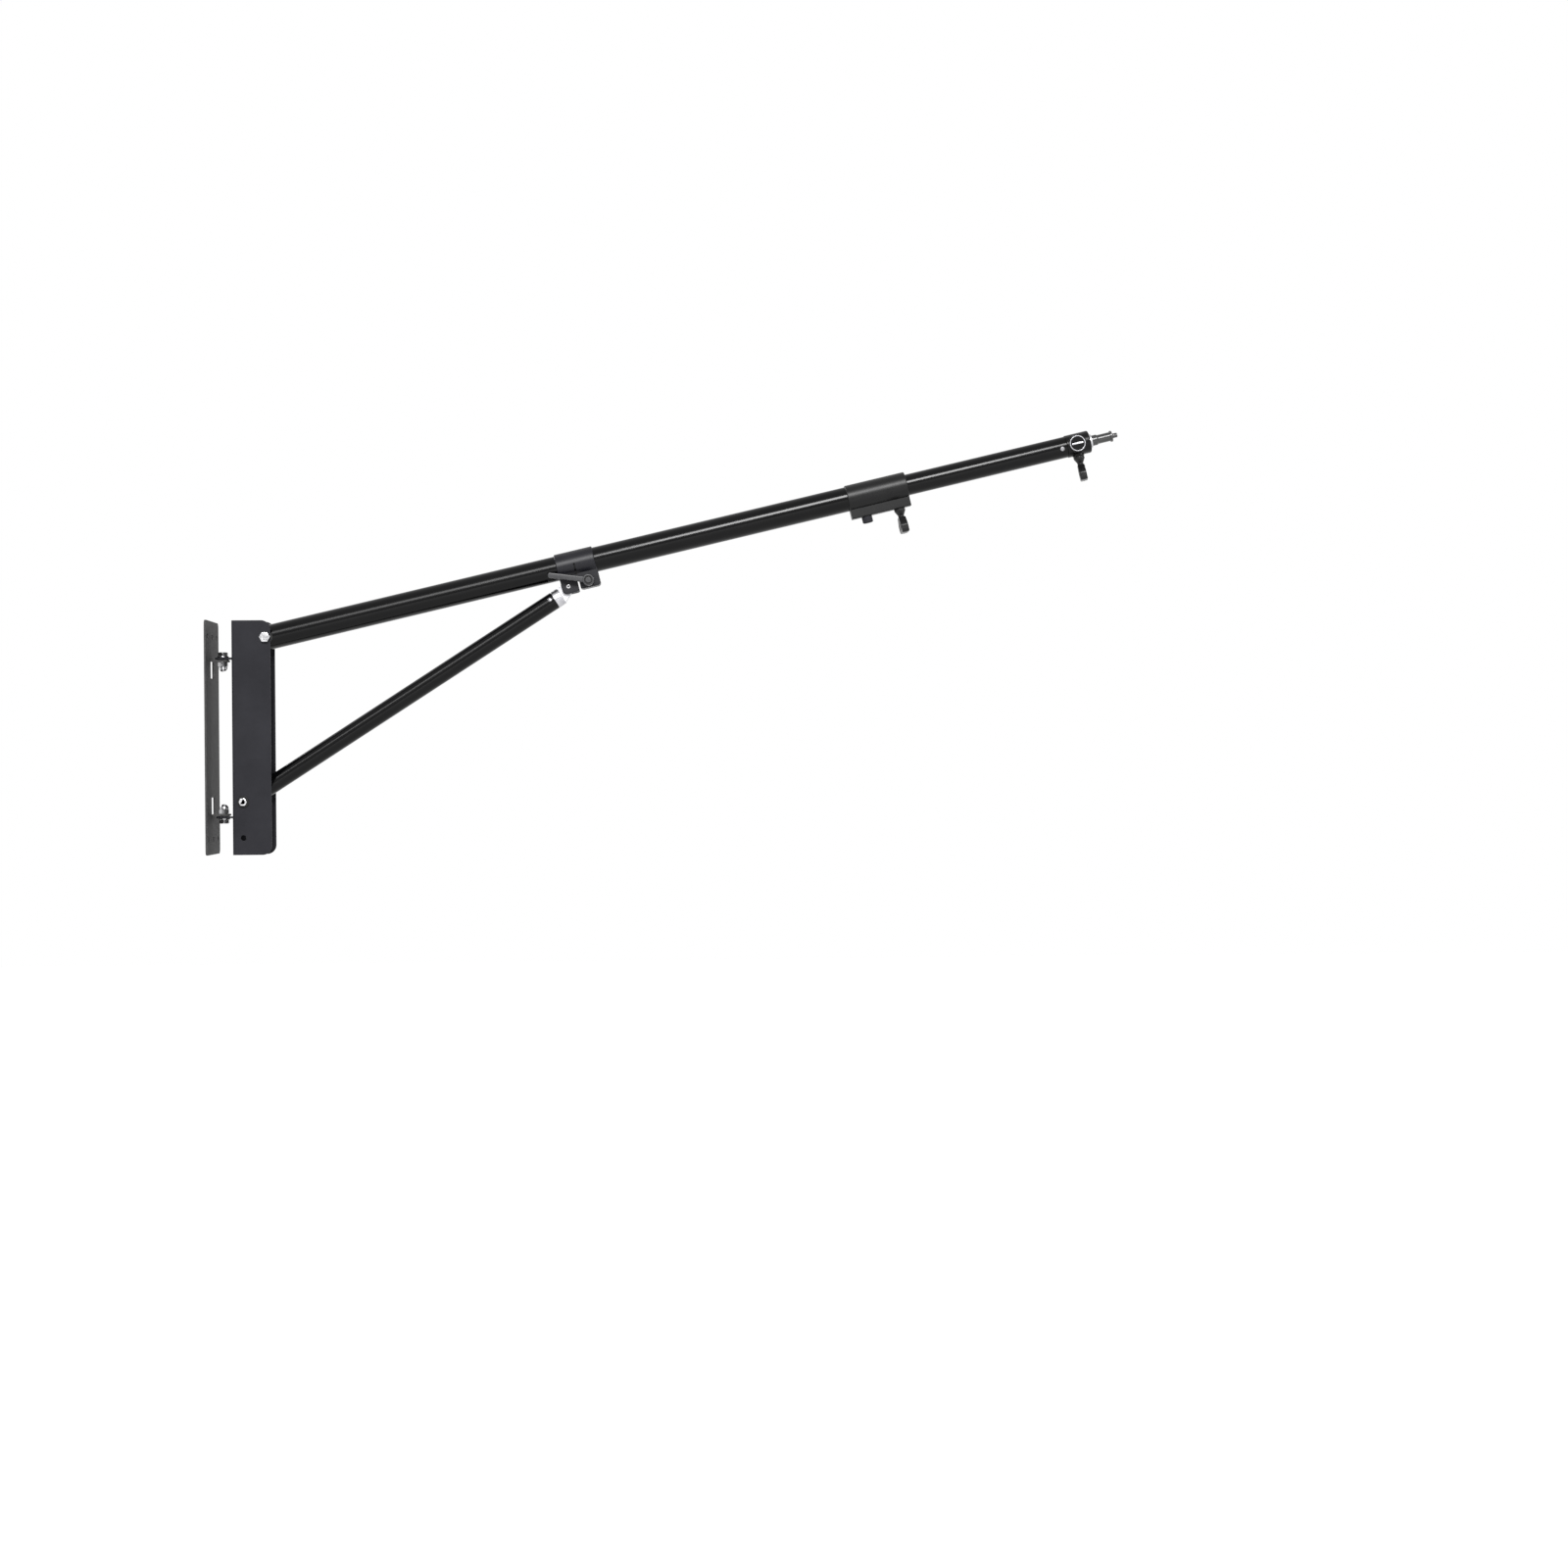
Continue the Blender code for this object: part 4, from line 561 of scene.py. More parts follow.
def carved(bm, *steps):
    """A solid after Boolean steps, each an operation and the solids that it uses."""
    things = [in_scene("scratch", as_mesh(bm))]
    for operation, *tools in steps:
        things.append(in_scene("scratch", as_mesh(joined(*tools))))
        boolean = things[0].modifiers.new(operation, "BOOLEAN")
        boolean.operation, boolean.object, boolean.use_self = operation, things[-1], len(tools) > 1
        things[-1].hide_set(True)
    out = as_solid(baked(things[0]))
    for thing in things:
        mesh = thing.data
        bpy.data.objects.remove(thing)
        bpy.data.meshes.remove(mesh)
    bmesh.ops.remove_doubles(out, verts=out.verts, dist=2e-7)
    bmesh.ops.dissolve_limit(out, angle_limit=math.radians(0.4), verts=out.verts, edges=out.edges)
    return out


trial = carved(rod(0, 1, 1), ("DIFFERENCE", rod(-1, 2, 0.5)))
print("faces of a drilled disc:", len(trial.faces))
trial.free()

# %% [markdown]
# ## Dressing a piece
# Each new piece stands for one piece of the model: it hides it, rides on the same body and takes the
# material given to it. Edges that a cut has left sharp get a narrow bevel, and the rest is shaded smooth.
# Smooth shading alone would tilt a tube's normals towards its rounded rim, and a long face would spread
# that tilt over its whole length. Normals weighted by the size of each face keep long faces true.

# %% Piece helper
BODY_OF = {node: body for body, nodes in frame["record"]["behaviour"]["bodies"].items() for node in nodes}


def with_true_faces(mesh):
    """The mesh with normals that follow its large faces, and bend only over the narrow ones."""
    name = mesh.name
    thing = in_scene("scratch", mesh)
    thing.modifiers.new("weigh", "WEIGHTED_NORMAL").keep_sharp = True
    result = baked(thing)
    bpy.data.objects.remove(thing)
    bpy.data.meshes.remove(mesh)
    result.name = name
    return result


def dress(node, bm, material, place=None, cut_edges=0.0, name="look"):
    """The visible piece for a node: its mesh, placed, bevelled and shaded."""
    if place is not None:
        placed(bm, place)
    if cut_edges:
        bevel(bm, [e for e in bm.edges if len(e.link_faces) == 2 and e.calc_face_angle(0) > math.radians(32)],
              cut_edges)
    bmesh.ops.triangulate(bm, faces=[f for f in bm.faces if len(f.verts) > 4])
    mesh = as_mesh(bm, f"{node}_{name}")
    mesh.shade_smooth()
    mesh.set_sharp_from_angle(angle=math.radians(40))
    mesh = with_true_faces(mesh)
    mesh.materials.clear()
    mesh.materials.append(material)
    piece = in_scene(f"{node}_{name}", mesh)
    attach(piece, BODY_OF[node])
    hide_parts(node)


print("nodes on each body:", {body: list(BODY_OF.values()).count(body) for body in set(BODY_OF.values())})

# %% [markdown]
# ## Sheet metal
# The wall plate and the channel are both bent from 2.5 mm steel. A tongue is punched out on three
# sides and folded square, which leaves a slot below the fold: the plate's tongues point away from the
# wall, and the channel's point back at it. The same function makes both.

# %% Folded tongues
WASHER_THICKNESS = 0.0005
TAB_FACE = TAB_HEIGHT + SHEET / 2
LUG_FACE = TAB_FACE + 2 * GAP + WASHER_THICKNESS + SHEET
SIDES = ((1, TO_UP), (-1, TO_DOWN))


def tongue_and_slot(reach, width, corner, face, side, turn=Matrix()):
    """A folded tongue and the slot it came from, for a sheet that is SHEET thick from x = 0. The
    tongue's upper face is at the height given, and the lower side is the upper one turned over."""
    bend = face + FOLD_RADIUS
    centre = (SHEET + FOLD_RADIUS, bend)
    fold = ([(0, bend + SHEET)] + arc(centre, SHEET + FOLD_RADIUS, 180, 270, 8) + [(reach, face - SHEET),
            (reach, face)] + arc(centre, FOLD_RADIUS, 270, 180, 6) + [(SHEET, bend + SHEET)])
    tongue = slab(fold, -width / 2, width / 2, "Y")
    tips = [e for e in tongue.edges if all(abs(v.co.x - reach) < 1e-6 for v in e.verts)
            and abs(e.verts[0].co.y - e.verts[1].co.y) < 1e-6]
    bevel(tongue, tips, corner, 10, clamp=False)
    flat = reach - SHEET - FOLD_RADIUS + math.pi / 2 * (FOLD_RADIUS + SHEET / 2)
    half, bottom = width / 2 + PUNCH_CLEARANCE, bend - flat - PUNCH_CLEARANCE
    slot = slab(block((-half, bottom), (half, bend), (0.0015, 0.0015, 0, 0), 5), -SHEET, 2 * SHEET, "X")
    place = Matrix.Diagonal((1, side, side, 1)) @ turn
    return placed(tongue, place), placed(slot, place)


def wall_plate():
    half_width, half_height = PLATE_WIDTH / 2, PLATE_HEIGHT / 2
    outline = block((-half_width, -half_height), (half_width, half_height), [PLATE_CORNER] * 4, 10)
    folds, holes = [], []
    for side, turn in SIDES:
        folds.append(tongue_and_slot(TAB_REACH, TAB_WIDTH, TAB_CORNER, TAB_FACE, side))
        holes += drill(M8_HOLE, SWIVEL @ turn, start=TAB_HEIGHT - 2 * SHEET, end=TAB_HEIGHT + 2 * SHEET)
        height = side * (half_height - SCREW_INSET)
        screws = [moved(0, across, height) for across in (-SCREW_APART, 0, SCREW_APART)]
        holes += drill(SCREW_HOLE, *screws, start=-SHEET, end=2 * SHEET)
    tongues, slots = zip(*folds)
    solid = carved(slab(outline, 0, SHEET, "X"), ("DIFFERENCE", *slots), ("UNION", *tongues),
                   ("DIFFERENCE", *holes))
    dress("wall_plate", solid, plate_coat, cut_edges=0.0003)


def channel():
    back, out, bend = BRACKET_BACK - SWIVEL_FROM_WALL, FLANGE_OUT, SHEET + FOLD_RADIUS
    front, top, inner = back + BRACKET_DEPTH, BRACKET_HEIGHT / 2, back + SHEET
    section = eased([(back, -out, bend), (front, -out, 0), (front, -FLANGE_IN, 0),
                     (inner, -FLANGE_IN, FOLD_RADIUS), (inner, FLANGE_IN, FOLD_RADIUS),
                     (front, FLANGE_IN, 0), (front, out, 0), (back, out, bend)], 8)
    side_view = block((back - out, -top), (front, top), (0, BRACKET_CORNER, BRACKET_CORNER, 0), 14)
    reach, corner = inner + LUG_PAST_AXIS, 0.9 * LUG_PAST_AXIS
    to_wall = moved(inner) @ Matrix.Diagonal((-1, -1, 1, 1))
    folds, holes = [], []
    for side, turn in SIDES:
        folds.append(tongue_and_slot(reach, LUG_WIDTH, corner, LUG_FACE, side, to_wall))
        holes += drill(M8_HOLE, turn, start=LUG_FACE - 2 * SHEET, end=LUG_FACE + SHEET)
    for place, start, radius in ((BOOM_PIVOT, -2 * out, M8_HOLE), (BRACE_PIVOT, -2 * out, M6_HOLE),
                                 (SPARE_HOLE, -2 * out, 0.0030), (SPARE_HOLE, 0, 0.0040)):
        holes += drill(radius, Matrix.Translation(place - SWIVEL.translation) @ TO_LEFT, start=start,
                       end=2 * out)
    tongues, slots = zip(*folds)
    solid = carved(slab(section, -top - out, top + out, "Z"),
                   ("INTERSECT", slab(side_view, -2 * out, 2 * out, "Y")),
                   ("DIFFERENCE", *slots), ("UNION", *tongues), ("DIFFERENCE", *holes))
    dress("swivel_bracket", solid, channel_coat, SWIVEL, cut_edges=0.0003)


wall_plate()
channel()

# %% [markdown]
# ## Threads with Geometry Nodes
# A thread is one ridge that climbs round a bolt, which is a rule, so Geometry Nodes make it: a spiral
# curve with as many turns as the length holds, and a small triangle swept along it. The sizes are the
# tree's inputs, and one tree serves every bolt end and the stud's tip.

# %% Thread tree
def swept(tree, start, end, path, section, caps):
    """The end of a tree: a section swept along a path, made real and given its finish."""
    sweep = add(tree, "GeometryNodeCurveToMesh", {"Curve": path, "Profile Curve": section, "Fill Caps": caps})
    real = add(tree, "GeometryNodeRealizeInstances", {0: sweep["Mesh"]})
    paint = add(tree, "GeometryNodeSetMaterial", {"Geometry": real[0], "Material": start["Finish"]})
    feed(tree, end, {"Geometry": paint[0]})
    return tree


def thread_tree():
    sizes = {"Radius": 0.004, "Length": 0.005, "Pitch": 0.00125, "Depth": 0.0004, "Finish": None}
    tree, start, end = new_tree("screw thread", "GeometryNodeTree", sizes, {"Geometry": "Geometry"})
    turns = combine(tree, "DIVIDE", start["Length"], start["Pitch"])
    radius = start["Radius"]
    spiral = add(tree, "GeometryNodeCurveSpiral",
                 {"Resolution": 24, "Rotations": turns, "Start Radius": radius, "End Radius": radius,
                  "Height": start["Length"]})
    section = add(tree, "GeometryNodeCurvePrimitiveCircle", {"Resolution": 4, "Radius": start["Depth"]})
    return swept(tree, start, end, spiral["Curve"], section["Curve"], True)


def grown(tree, **sizes):
    """What a tree makes with these sizes."""
    seed = in_scene("scratch", bpy.data.meshes.new("scratch"))
    modifier = seed.modifiers.new("grow", "NODES")
    modifier.node_group = tree
    for socket in tree.interface.items_tree:
        label = socket.name.replace(" ", "_")
        if label in sizes:
            modifier[socket.identifier] = sizes[label]
    mesh = baked(seed)
    seed.modifiers.remove(modifier)
    bpy.data.objects.remove(seed)
    return as_solid(mesh)


THREAD = thread_tree()


def thread(start, length, radius, pitch):
    """A thread along +X, from a spiral that climbs along Z."""
    ridge = grown(THREAD, Radius=radius - 0.12 * pitch, Length=length, Pitch=pitch, Depth=0.36 * pitch)
    return placed(ridge, moved(start) @ TO_DOWN)


print("thread inputs:", [socket.name for socket in THREAD.interface.items_tree])

# %% [markdown]
# ## Screws, nuts and washers
# A hexagon head is a six-sided bar whose corners are turned off to a slight cone. So it is a hexagon
# that keeps only what lies inside a turned blank, with the shallow dish that the forging punch leaves in
# its top. Washers are stamped, and have rounded rims. The swivel's nuts are closed by a dome, so no
# thread shows on them.

# %% Fasteners
Screw = namedtuple("Screw", "radius flats head nut pitch")
M8 = Screw(0.004, 0.013, 0.0053, 0.0070, 0.00125)
M6 = Screw(0.003, 0.010, 0.0040, 0.0050, 0.00100)
M5 = Screw(0.0025, 0.008, 0.0035, 0.0035, 0.00080)


def hex_head(flats, start, end, cone_at_start):
    corner, slope, top = flats / math.sqrt(3), 0.14 * (end - start), 0.475 * flats
    if cone_at_start:
        blank = [(start, top), (start + slope, corner), (end + GAP, corner)]
    else:
        blank = [(start - GAP, corner), (end - slope, corner), (end, top)]
    return carved(slab(hexagon(flats), start, end, "X"), ("INTERSECT", lathe(blank)))


def hex_bolt(node, size, length, threaded, place):
    """A bolt along +X, with its seat at 0 and its last stretch threaded."""
    radius, flats, head, _, pitch = size
    shank = rod(-head / 2, length, radius - 0.1 * pitch, soft=0.0004)
    dent = lathe([(-2 * head, 0.33 * flats), (-head, 0.33 * flats), (0.0004 - head, 0.27 * flats)])
    solid = carved(hex_head(flats, -head, 0, True), ("DIFFERENCE", dent), ("UNION", shank))
    ridge = thread(length - threaded, threaded - pitch, radius - 0.25 * pitch, pitch)
    dress(node, joined(solid, ridge), bright_zinc, place)


def hex_nut(node, size, place):
    bore, height = size.radius + GAP, size.nut
    funnel = lathe([(-GAP, bore), (height - 0.0008, bore), (height + GAP, size.radius + 0.0012)])
    dress(node, carved(hex_head(size.flats, 0, height, False), ("DIFFERENCE", funnel)), bright_zinc, place)


def washer(node, radius, bore, thickness, material, place):
    dress(node, sleeve(0, thickness, bore + GAP, radius, soft=min(0.0003, thickness / 3)), material, place)


DOME_NUT_HEIGHT, DOME_WALL = 0.0135, 0.003


def dome_nut(node, place):
    dome = 0.46 * M8.flats
    skirt = arc((DOME_NUT_HEIGHT - dome, 0), dome, 90, 0, 14)[:-1]
    cap = lathe([(0.003, dome), *skirt, (DOME_NUT_HEIGHT, 0)])
    solid = carved(hex_head(M8.flats, 0, 0.0065, False), ("UNION", cap),
                   ("DIFFERENCE", rod(-0.004, DOME_NUT_HEIGHT - DOME_WALL, M8_HOLE)))
    dress(node, solid, bright_zinc, place)


def swivel_joint(word, side, inward):
    def at(height):
        return SWIVEL @ moved(z=side * height) @ inward

    washer_radius, thick = 0.008, 0.0016
    washer_top, nut_seat = LUG_FACE + GAP + thick, TAB_FACE - SHEET - GAP
    washer(f"{word}_swivel_washer", washer_radius, M8.radius, WASHER_THICKNESS, dark_nylon,
           at(TAB_FACE + GAP + WASHER_THICKNESS))
    washer(f"{word}_head_washer", washer_radius, M8.radius, thick, bright_zinc, at(washer_top))
    length = washer_top + GAP - nut_seat + DOME_NUT_HEIGHT - DOME_WALL - 0.001
    hex_bolt(f"{word}_swivel_bolt", M8, length, 0.009, at(washer_top + GAP))
    dome_nut(f"{word}_swivel_nut", at(nut_seat))


def pivots():
    def at(pivot, across):
        return Matrix.Translation(pivot) @ moved(y=across) @ TO_RIGHT

    seat, side_gap, thick, inner = FLANGE_OUT + GAP, FLANGE_IN - BOOM_RADIUS - 2 * GAP, 0.0012, 0.006 + GAP
    hex_bolt("boom_pivot_bolt", M8, 2 * seat + 0.008, 0.012, at(BOOM_PIVOT, -seat))
    hex_nut("boom_pivot_nut", M8, at(BOOM_PIVOT, seat))
    for word, start in (("near", -FLANGE_IN + GAP), ("far", FLANGE_IN - GAP - side_gap)):
        washer(f"boom_pivot_washer_{word}", 0.010, M8.radius, side_gap, dark_nylon, at(BOOM_PIVOT, start))
    head_seat, spacer = seat + thick + GAP, FLANGE_IN - GAP - inner
    hex_bolt("brace_pivot_bolt", M6, head_seat + seat + 0.006, 0.010, at(BRACE_PIVOT, -head_seat))
    washer("brace_pivot_washer", 0.008, M6.radius, thick, black_plastic, at(BRACE_PIVOT, -seat - thick))
    hex_nut("brace_pivot_nut", M6, at(BRACE_PIVOT, seat))
    for word, start in (("near", -inner - spacer), ("far", inner)):
        washer(f"brace_pivot_spacer_{word}", 0.005, M6.radius, spacer, dark_nylon, at(BRACE_PIVOT, start))


swivel_joint("upper", 1, TO_DOWN)
swivel_joint("lower", -1, TO_UP)
pivots()

# %% [markdown]
# ## Tubes
# A tube is a ring whose section is a long thin rectangle with rounded ends, which is a rule again, so
# a Geometry Nodes tree makes it: the rectangle is filleted and swept round a circle.

# %% Tubes
def tube_tree():
    sizes = {"Length": 1.0, "Outer Radius": 0.02, "Wall": 0.0015, "Lip": 0.0004, "Finish": None}
    tree, start, end = new_tree("round tube", "GeometryNodeTree", sizes, {"Geometry": "Geometry"})
    middle = combine(tree, "ADD", start["Outer Radius"], combine(tree, "MULTIPLY", start["Wall"], -0.5))
    circle = add(tree, "GeometryNodeCurvePrimitiveCircle", {"Resolution": ROUND, "Radius": middle})
    wall = add(tree, "GeometryNodeCurvePrimitiveQuadrilateral",
               {"Width": start["Wall"], "Height": start["Length"]})
    lips = add(tree, "GeometryNodeFilletCurve", {"Curve": wall["Curve"], "Radius": start["Lip"], "Count": 3},
               mode="POLY")
    return swept(tree, start, end, circle["Curve"], lips["Curve"], False)


TUBE = tube_tree()


def tube(start, end, bore, radius):
    """A tube along +X. The tree makes it along Z, with its middle at the origin."""
    bm = grown(TUBE, Length=end - start, Outer_Radius=radius, Wall=radius - bore, Lip=0.3 * (radius - bore))
    placed(bm, moved((start + end) / 2) @ TO_DOWN)
    bmesh.ops.recalc_face_normals(bm, faces=bm.faces)
    return bm


FIXING_BOLT_AT, EXTENSION_KNOB_AT, HEAD_RIVET_AT, HEAD_AXIS_AT = [
    moved(along) for along in (0.8627, 0.9106, 1.1550, 1.1776)]
HEAD_RIVET_TURN = math.radians(10)
NEAR_RIVET = HEAD_RIVET_AT @ TO_LEFT @ turned_about("Y", HEAD_RIVET_TURN)
FAR_RIVET = HEAD_RIVET_AT @ TO_RIGHT @ turned_about("Y", -HEAD_RIVET_TURN)
KNOB_HOLE_PLACE = EXTENSION_KNOB_AT @ TO_DOWN
BELOW = FIXING_BOLT_AT @ TO_DOWN, KNOB_HOLE_PLACE


def boom_tubes():
    holes = drill(M8_HOLE, TO_RIGHT, start=-0.06) + drill(M8_HOLE, *BELOW)
    dress("main_tube", carved(tube(BOOM_START, BOOM_END, BOOM_BORE, BOOM_RADIUS), ("DIFFERENCE", *holes)),
          gloss_paint, BOOM)
    extension = tube(EXTENSION_START, EXTENSION_END, EXTENSION_BORE, EXTENSION_RADIUS)
    dress("extension_tube", carved(extension, ("DIFFERENCE", *drill(RIVET_HOLE, NEAR_RIVET, FAR_RIVET))),
          gloss_paint, BOOM)


def tube_plugs():
    in_boom, in_extension = BOOM_BORE - GAP, EXTENSION_BORE - GAP
    cap, end = BOOM_START - GAP, EXTENSION_START - GAP
    root = lathe([(cap - 0.003, BOOM_RADIUS), (cap, BOOM_RADIUS), (cap, in_boom), (cap + 0.041, in_boom)],
                 ROUND, 0.0008)
    tail = lathe([(end - 0.012, in_boom), (end, in_boom), (end, in_extension), (end + 0.026, in_extension)],
                 ROUND, 0.0008)
    bush = sleeve(0.872, BOOM_END - GAP, EXTENSION_RADIUS + GAP, in_boom, ROUND)
    root = carved(root, ("DIFFERENCE", *drill(M8_HOLE, TO_RIGHT, start=-0.06)))
    bush = carved(bush, ("DIFFERENCE", *drill(M8_HOLE, KNOB_HOLE_PLACE)))
    dress("boom_root_plug", root, black_plastic, BOOM)
    dress("guide_bush", bush, dark_nylon, BOOM)
    dress("extension_tail_plug", tail, black_plastic, BOOM)


boom_tubes()
tube_plugs()

# %% [markdown]
# ## Extension collar
# The collar on the boom's mouth is a casting: a round body with a flat rail below it that carries a
# fixing bolt and the knob. The rail runs into the body, and its ends are square. The bore steps down at
# the front, so the tube's end is hidden behind a lip.

# %% Extension collar
RAIL_DEPTH, COLLAR_START, COLLAR_END = 0.0300, 0.8410, 0.9279


def extension_collar():
    soft, half_rail, lip = 0.0012, 0.009, BOOM_END + GAP
    on_boom, on_extension = BOOM_RADIUS + GAP, EXTENSION_RADIUS + GAP
    body = rod(COLLAR_START, COLLAR_END, 0.0192, ROUND, soft)
    rail = slab(block((-half_rail, -RAIL_DEPTH), (half_rail, -0.004), (0.0016, 0.0016, 0, 0), 5),
                COLLAR_START + soft / 4, COLLAR_END - soft / 4, "X", 0.0005)
    bore = lathe([(COLLAR_START - 0.01, on_boom + 0.0006), (COLLAR_START + 0.0008, on_boom), (lip, on_boom),
                  (lip, on_extension), (COLLAR_END - 0.0006, on_extension),
                  (COLLAR_END + 0.01, EXTENSION_RADIUS + 0.0016)], ROUND)
    solid = carved(body, ("UNION", rail), ("DIFFERENCE", bore, *drill(M8_HOLE, *BELOW)))
    dress("extension_collar", solid, satin_black, BOOM)


def fixing_bolt():
    """A black socket screw with a rounded head."""
    start, seat, head = BOOM_BORE + GAP, RAIL_DEPTH + GAP, 0.0075
    end = seat + 0.0092
    blank = lathe([(start, 0.004, 0.0005), (seat, 0.004), (seat, head, 0.0004), (end, head, 0.0022)], ease=6)
    socket = slab(hexagon(0.006), end - 0.004, end + 0.002, "X")
    rim = lathe([(end - 0.0005, 0.0032), (end + 0.0005, 0.0042)])
    dress("collar_fixing_bolt", carved(blank, ("DIFFERENCE", socket, rim)), channel_coat,
          BOOM @ FIXING_BOLT_AT @ TO_DOWN)


extension_collar()
fixing_bolt()

# %% [markdown]
# ## Winged knobs
# Both knobs are one moulding. A cone sits on its seat and narrows to a neck, and a wide flat wing below
# it is what the fingers turn. The wing has a hollow in each face and a raised seam round its edge, where
# the two halves of the mould met. Seen from the end, as in the picture, the seam is a pale line.

# %% Knobs
def knob(node, seat, screw_tip, place):
    top, end, half, neck = seat + 0.0125, seat + 0.0352, 0.00525, 0.0045
    middle = (top + end) / 2
    cone = lathe([(seat + GAP, 0.008, 0.0006), (seat + 0.0035, 0.008, 0.0008), (seat + 0.0098, neck, 0.0012),
                  (top + half, neck)], ease=5)
    outline = [(top, -0.0085, 0.0025), (middle, -0.019, 0.005), (end, -0.019, 0.005),
               (end, 0.019, 0.005), (middle, 0.019, 0.005), (top, 0.0085, 0.0025)]
    wing = slab(eased(outline, 8), -half, half, "Z", 0.0014)
    proud = [(x + (0.0003 if x > middle else -0.0003), y * 1.012, radius) for x, y, radius in outline]
    seam = slab(eased(proud, 8), -0.0008, 0.0008, "Z", 0.0003)
    hollows = []
    for side in (1, -1):
        hollow = eased([(top + 0.004, side * 0.0075, 0.0015), (middle + 0.001, side * 0.0145, 0.003),
                        (end - 0.004, side * 0.0145, 0.003), (end - 0.004, side * 0.0075, 0.0015)], 6)
        hollows += [slab(hollow, half - 0.0012, half + 0.002, "Z"),
                    slab(hollow, -half - 0.002, 0.0012 - half, "Z")]
    solid = carved(cone, ("UNION", wing, seam), ("DIFFERENCE", *hollows, rod(0, seat + 0.022, M8_HOLE)))
    dress(node, solid, black_plastic, place, cut_edges=0.0002)
    shank = rod(screw_tip, seat + 0.0217, 0.0039, soft=0.0004)
    ridge = thread(screw_tip + 0.001, 0.010, 0.0037, M8.pitch)
    dress(f"{node}_screw", joined(shank, ridge), bright_zinc, place)


PAD_SEAT, PAD_THICKNESS, HEAD_KNOB_SEAT, STUD_RADIUS = EXTENSION_RADIUS + GAP, 0.0017, 0.0169, 0.00794
PAD_END = PAD_SEAT + PAD_THICKNESS
BOOM_KNOB = BOOM @ KNOB_HOLE_PLACE
HEAD_KNOB = BOOM @ HEAD_AXIS_AT @ TO_DOWN @ turned_about("X", math.radians(8.5))
knob("extension_knob", RAIL_DEPTH, PAD_END + GAP, BOOM_KNOB)
knob("tip_knob", HEAD_KNOB_SEAT, STUD_RADIUS + GAP, HEAD_KNOB)
dress("extension_knob_pad", rod(PAD_SEAT, PAD_END, 0.0036, soft=0.0003), dark_nylon, BOOM_KNOB)

# %% [markdown]
# ## Tip head
# The head is pressed into the extension tube and riveted on both sides. A short boss crosses it, with a
# slotted cap let into each end: a dull rim round a bright bar. The bar lies along the boom, where the
# tube's highlight line crosses the cap, so it is partly a painted highlight. The stud for the light goes
# into its front, and its knob clamps it.

# %% Head, caps and rivets
HEAD_RADIUS, HEAD_END, BOSS_OUT, CAP_RADIUS, CAP_THICKNESS = 0.0159, 1.1970, 0.0168, 0.0114, 0.0022
STUD_ROOT, STUD_BORE = HEAD_END - 0.046, STUD_RADIUS + GAP


def tip_head():
    start, plug = EXTENSION_END + GAP, EXTENSION_BORE - GAP
    outside = lathe([(start - 0.034, plug, 0.0008), (start, plug), (start, HEAD_RADIUS, 0.0005),
                     (HEAD_END, HEAD_RADIUS, 0.0018)], ROUND, ease=5)
    boss = placed(rod(-BOSS_OUT, BOSS_OUT, 0.0128, ROUND, 0.0004), HEAD_AXIS_AT @ TO_RIGHT)
    knob_seat = placed(rod(HEAD_RADIUS / 2, HEAD_KNOB_SEAT, 0.0085, soft=0.0003), HEAD_AXIS_AT @ TO_DOWN)
    socket = lathe([(STUD_ROOT, STUD_BORE), (HEAD_END - 0.0006, STUD_BORE), (HEAD_END + 0.002, 0.0105)])
    cuts = [socket, *drill(M8_HOLE, HEAD_AXIS_AT @ TO_DOWN)]
    cuts += [placed(rod(BOSS_OUT - CAP_THICKNESS, 0.03, CAP_RADIUS + GAP, ROUND), HEAD_AXIS_AT @ turn)
             for turn in (TO_LEFT, TO_RIGHT)]
    cuts += drill(RIVET_HOLE, NEAR_RIVET, FAR_RIVET, start=EXTENSION_BORE - 0.005)
    dress("tip_head", carved(outside, ("UNION", boss, knob_seat), ("DIFFERENCE", *cuts)), head_paint, BOOM)


def side_cap(node, turn):
    """A dull rim, a bright bar and the black floor below them, each a piece of its own. The bright bar is
    partly a painted highlight: it lies where the tube's highlight line crosses the cap.
    """
    seat = BOSS_OUT - CAP_THICKNESS + GAP
    face, floor, pocket = seat + CAP_THICKNESS, seat + CAP_THICKNESS - 0.0009, CAP_RADIUS - 0.0016
    rim = lathe([(seat, pocket, 0), (seat, CAP_RADIUS, 0.0002), (face, CAP_RADIUS, 0.0005),
                 (face, pocket, 0.0005)], ROUND, ring=True, ease=5)
    bar = slab(block((-0.0011, -0.0082), (0.0011, 0.0082), [0.0004] * 4), floor - 0.0003, face - 0.0002, "X",
               0.0003)
    placed(bar, turned_about("X", math.pi / 2 - math.radians(1)))
    place = BOOM @ HEAD_AXIS_AT @ turn
    dress(node, rim, grey_aluminium, place)
    # Painted highlight: the bar's bright aluminium, laid along the boom, stands for the tube's highlight line
    # where it crosses the cap.
    dress(node, bar, bright_aluminium, place, name="bar")
    dress(node, rod(seat, floor, pocket - 0.0001, ROUND, 0.0002), head_paint, place, name="floor")


def rivet(node, place):
    """A blind rivet: a low dome with a small pit where its pin broke off."""
    dome = [(-0.00075, 0.0008), (-0.0012, 0.0010, 0.0001), (-0.0010, 0.0022, 0.0006), (0, 0.0034, 0.0001),
            (0, 0.0016), (0.005, 0.0016)]
    dress(node, lathe(dome, 32), grey_aluminium, place @ BACK_TO_FRONT)


tip_head()
for word, cap_turn, rivet_place in (("near", TO_LEFT, NEAR_RIVET), ("far", TO_RIGHT, FAR_RIVET)):
    side_cap(f"side_cap_{word}", cap_turn)
    rivet(f"head_rivet_{word}", BOOM @ rivet_place @ moved(EXTENSION_RADIUS + GAP))

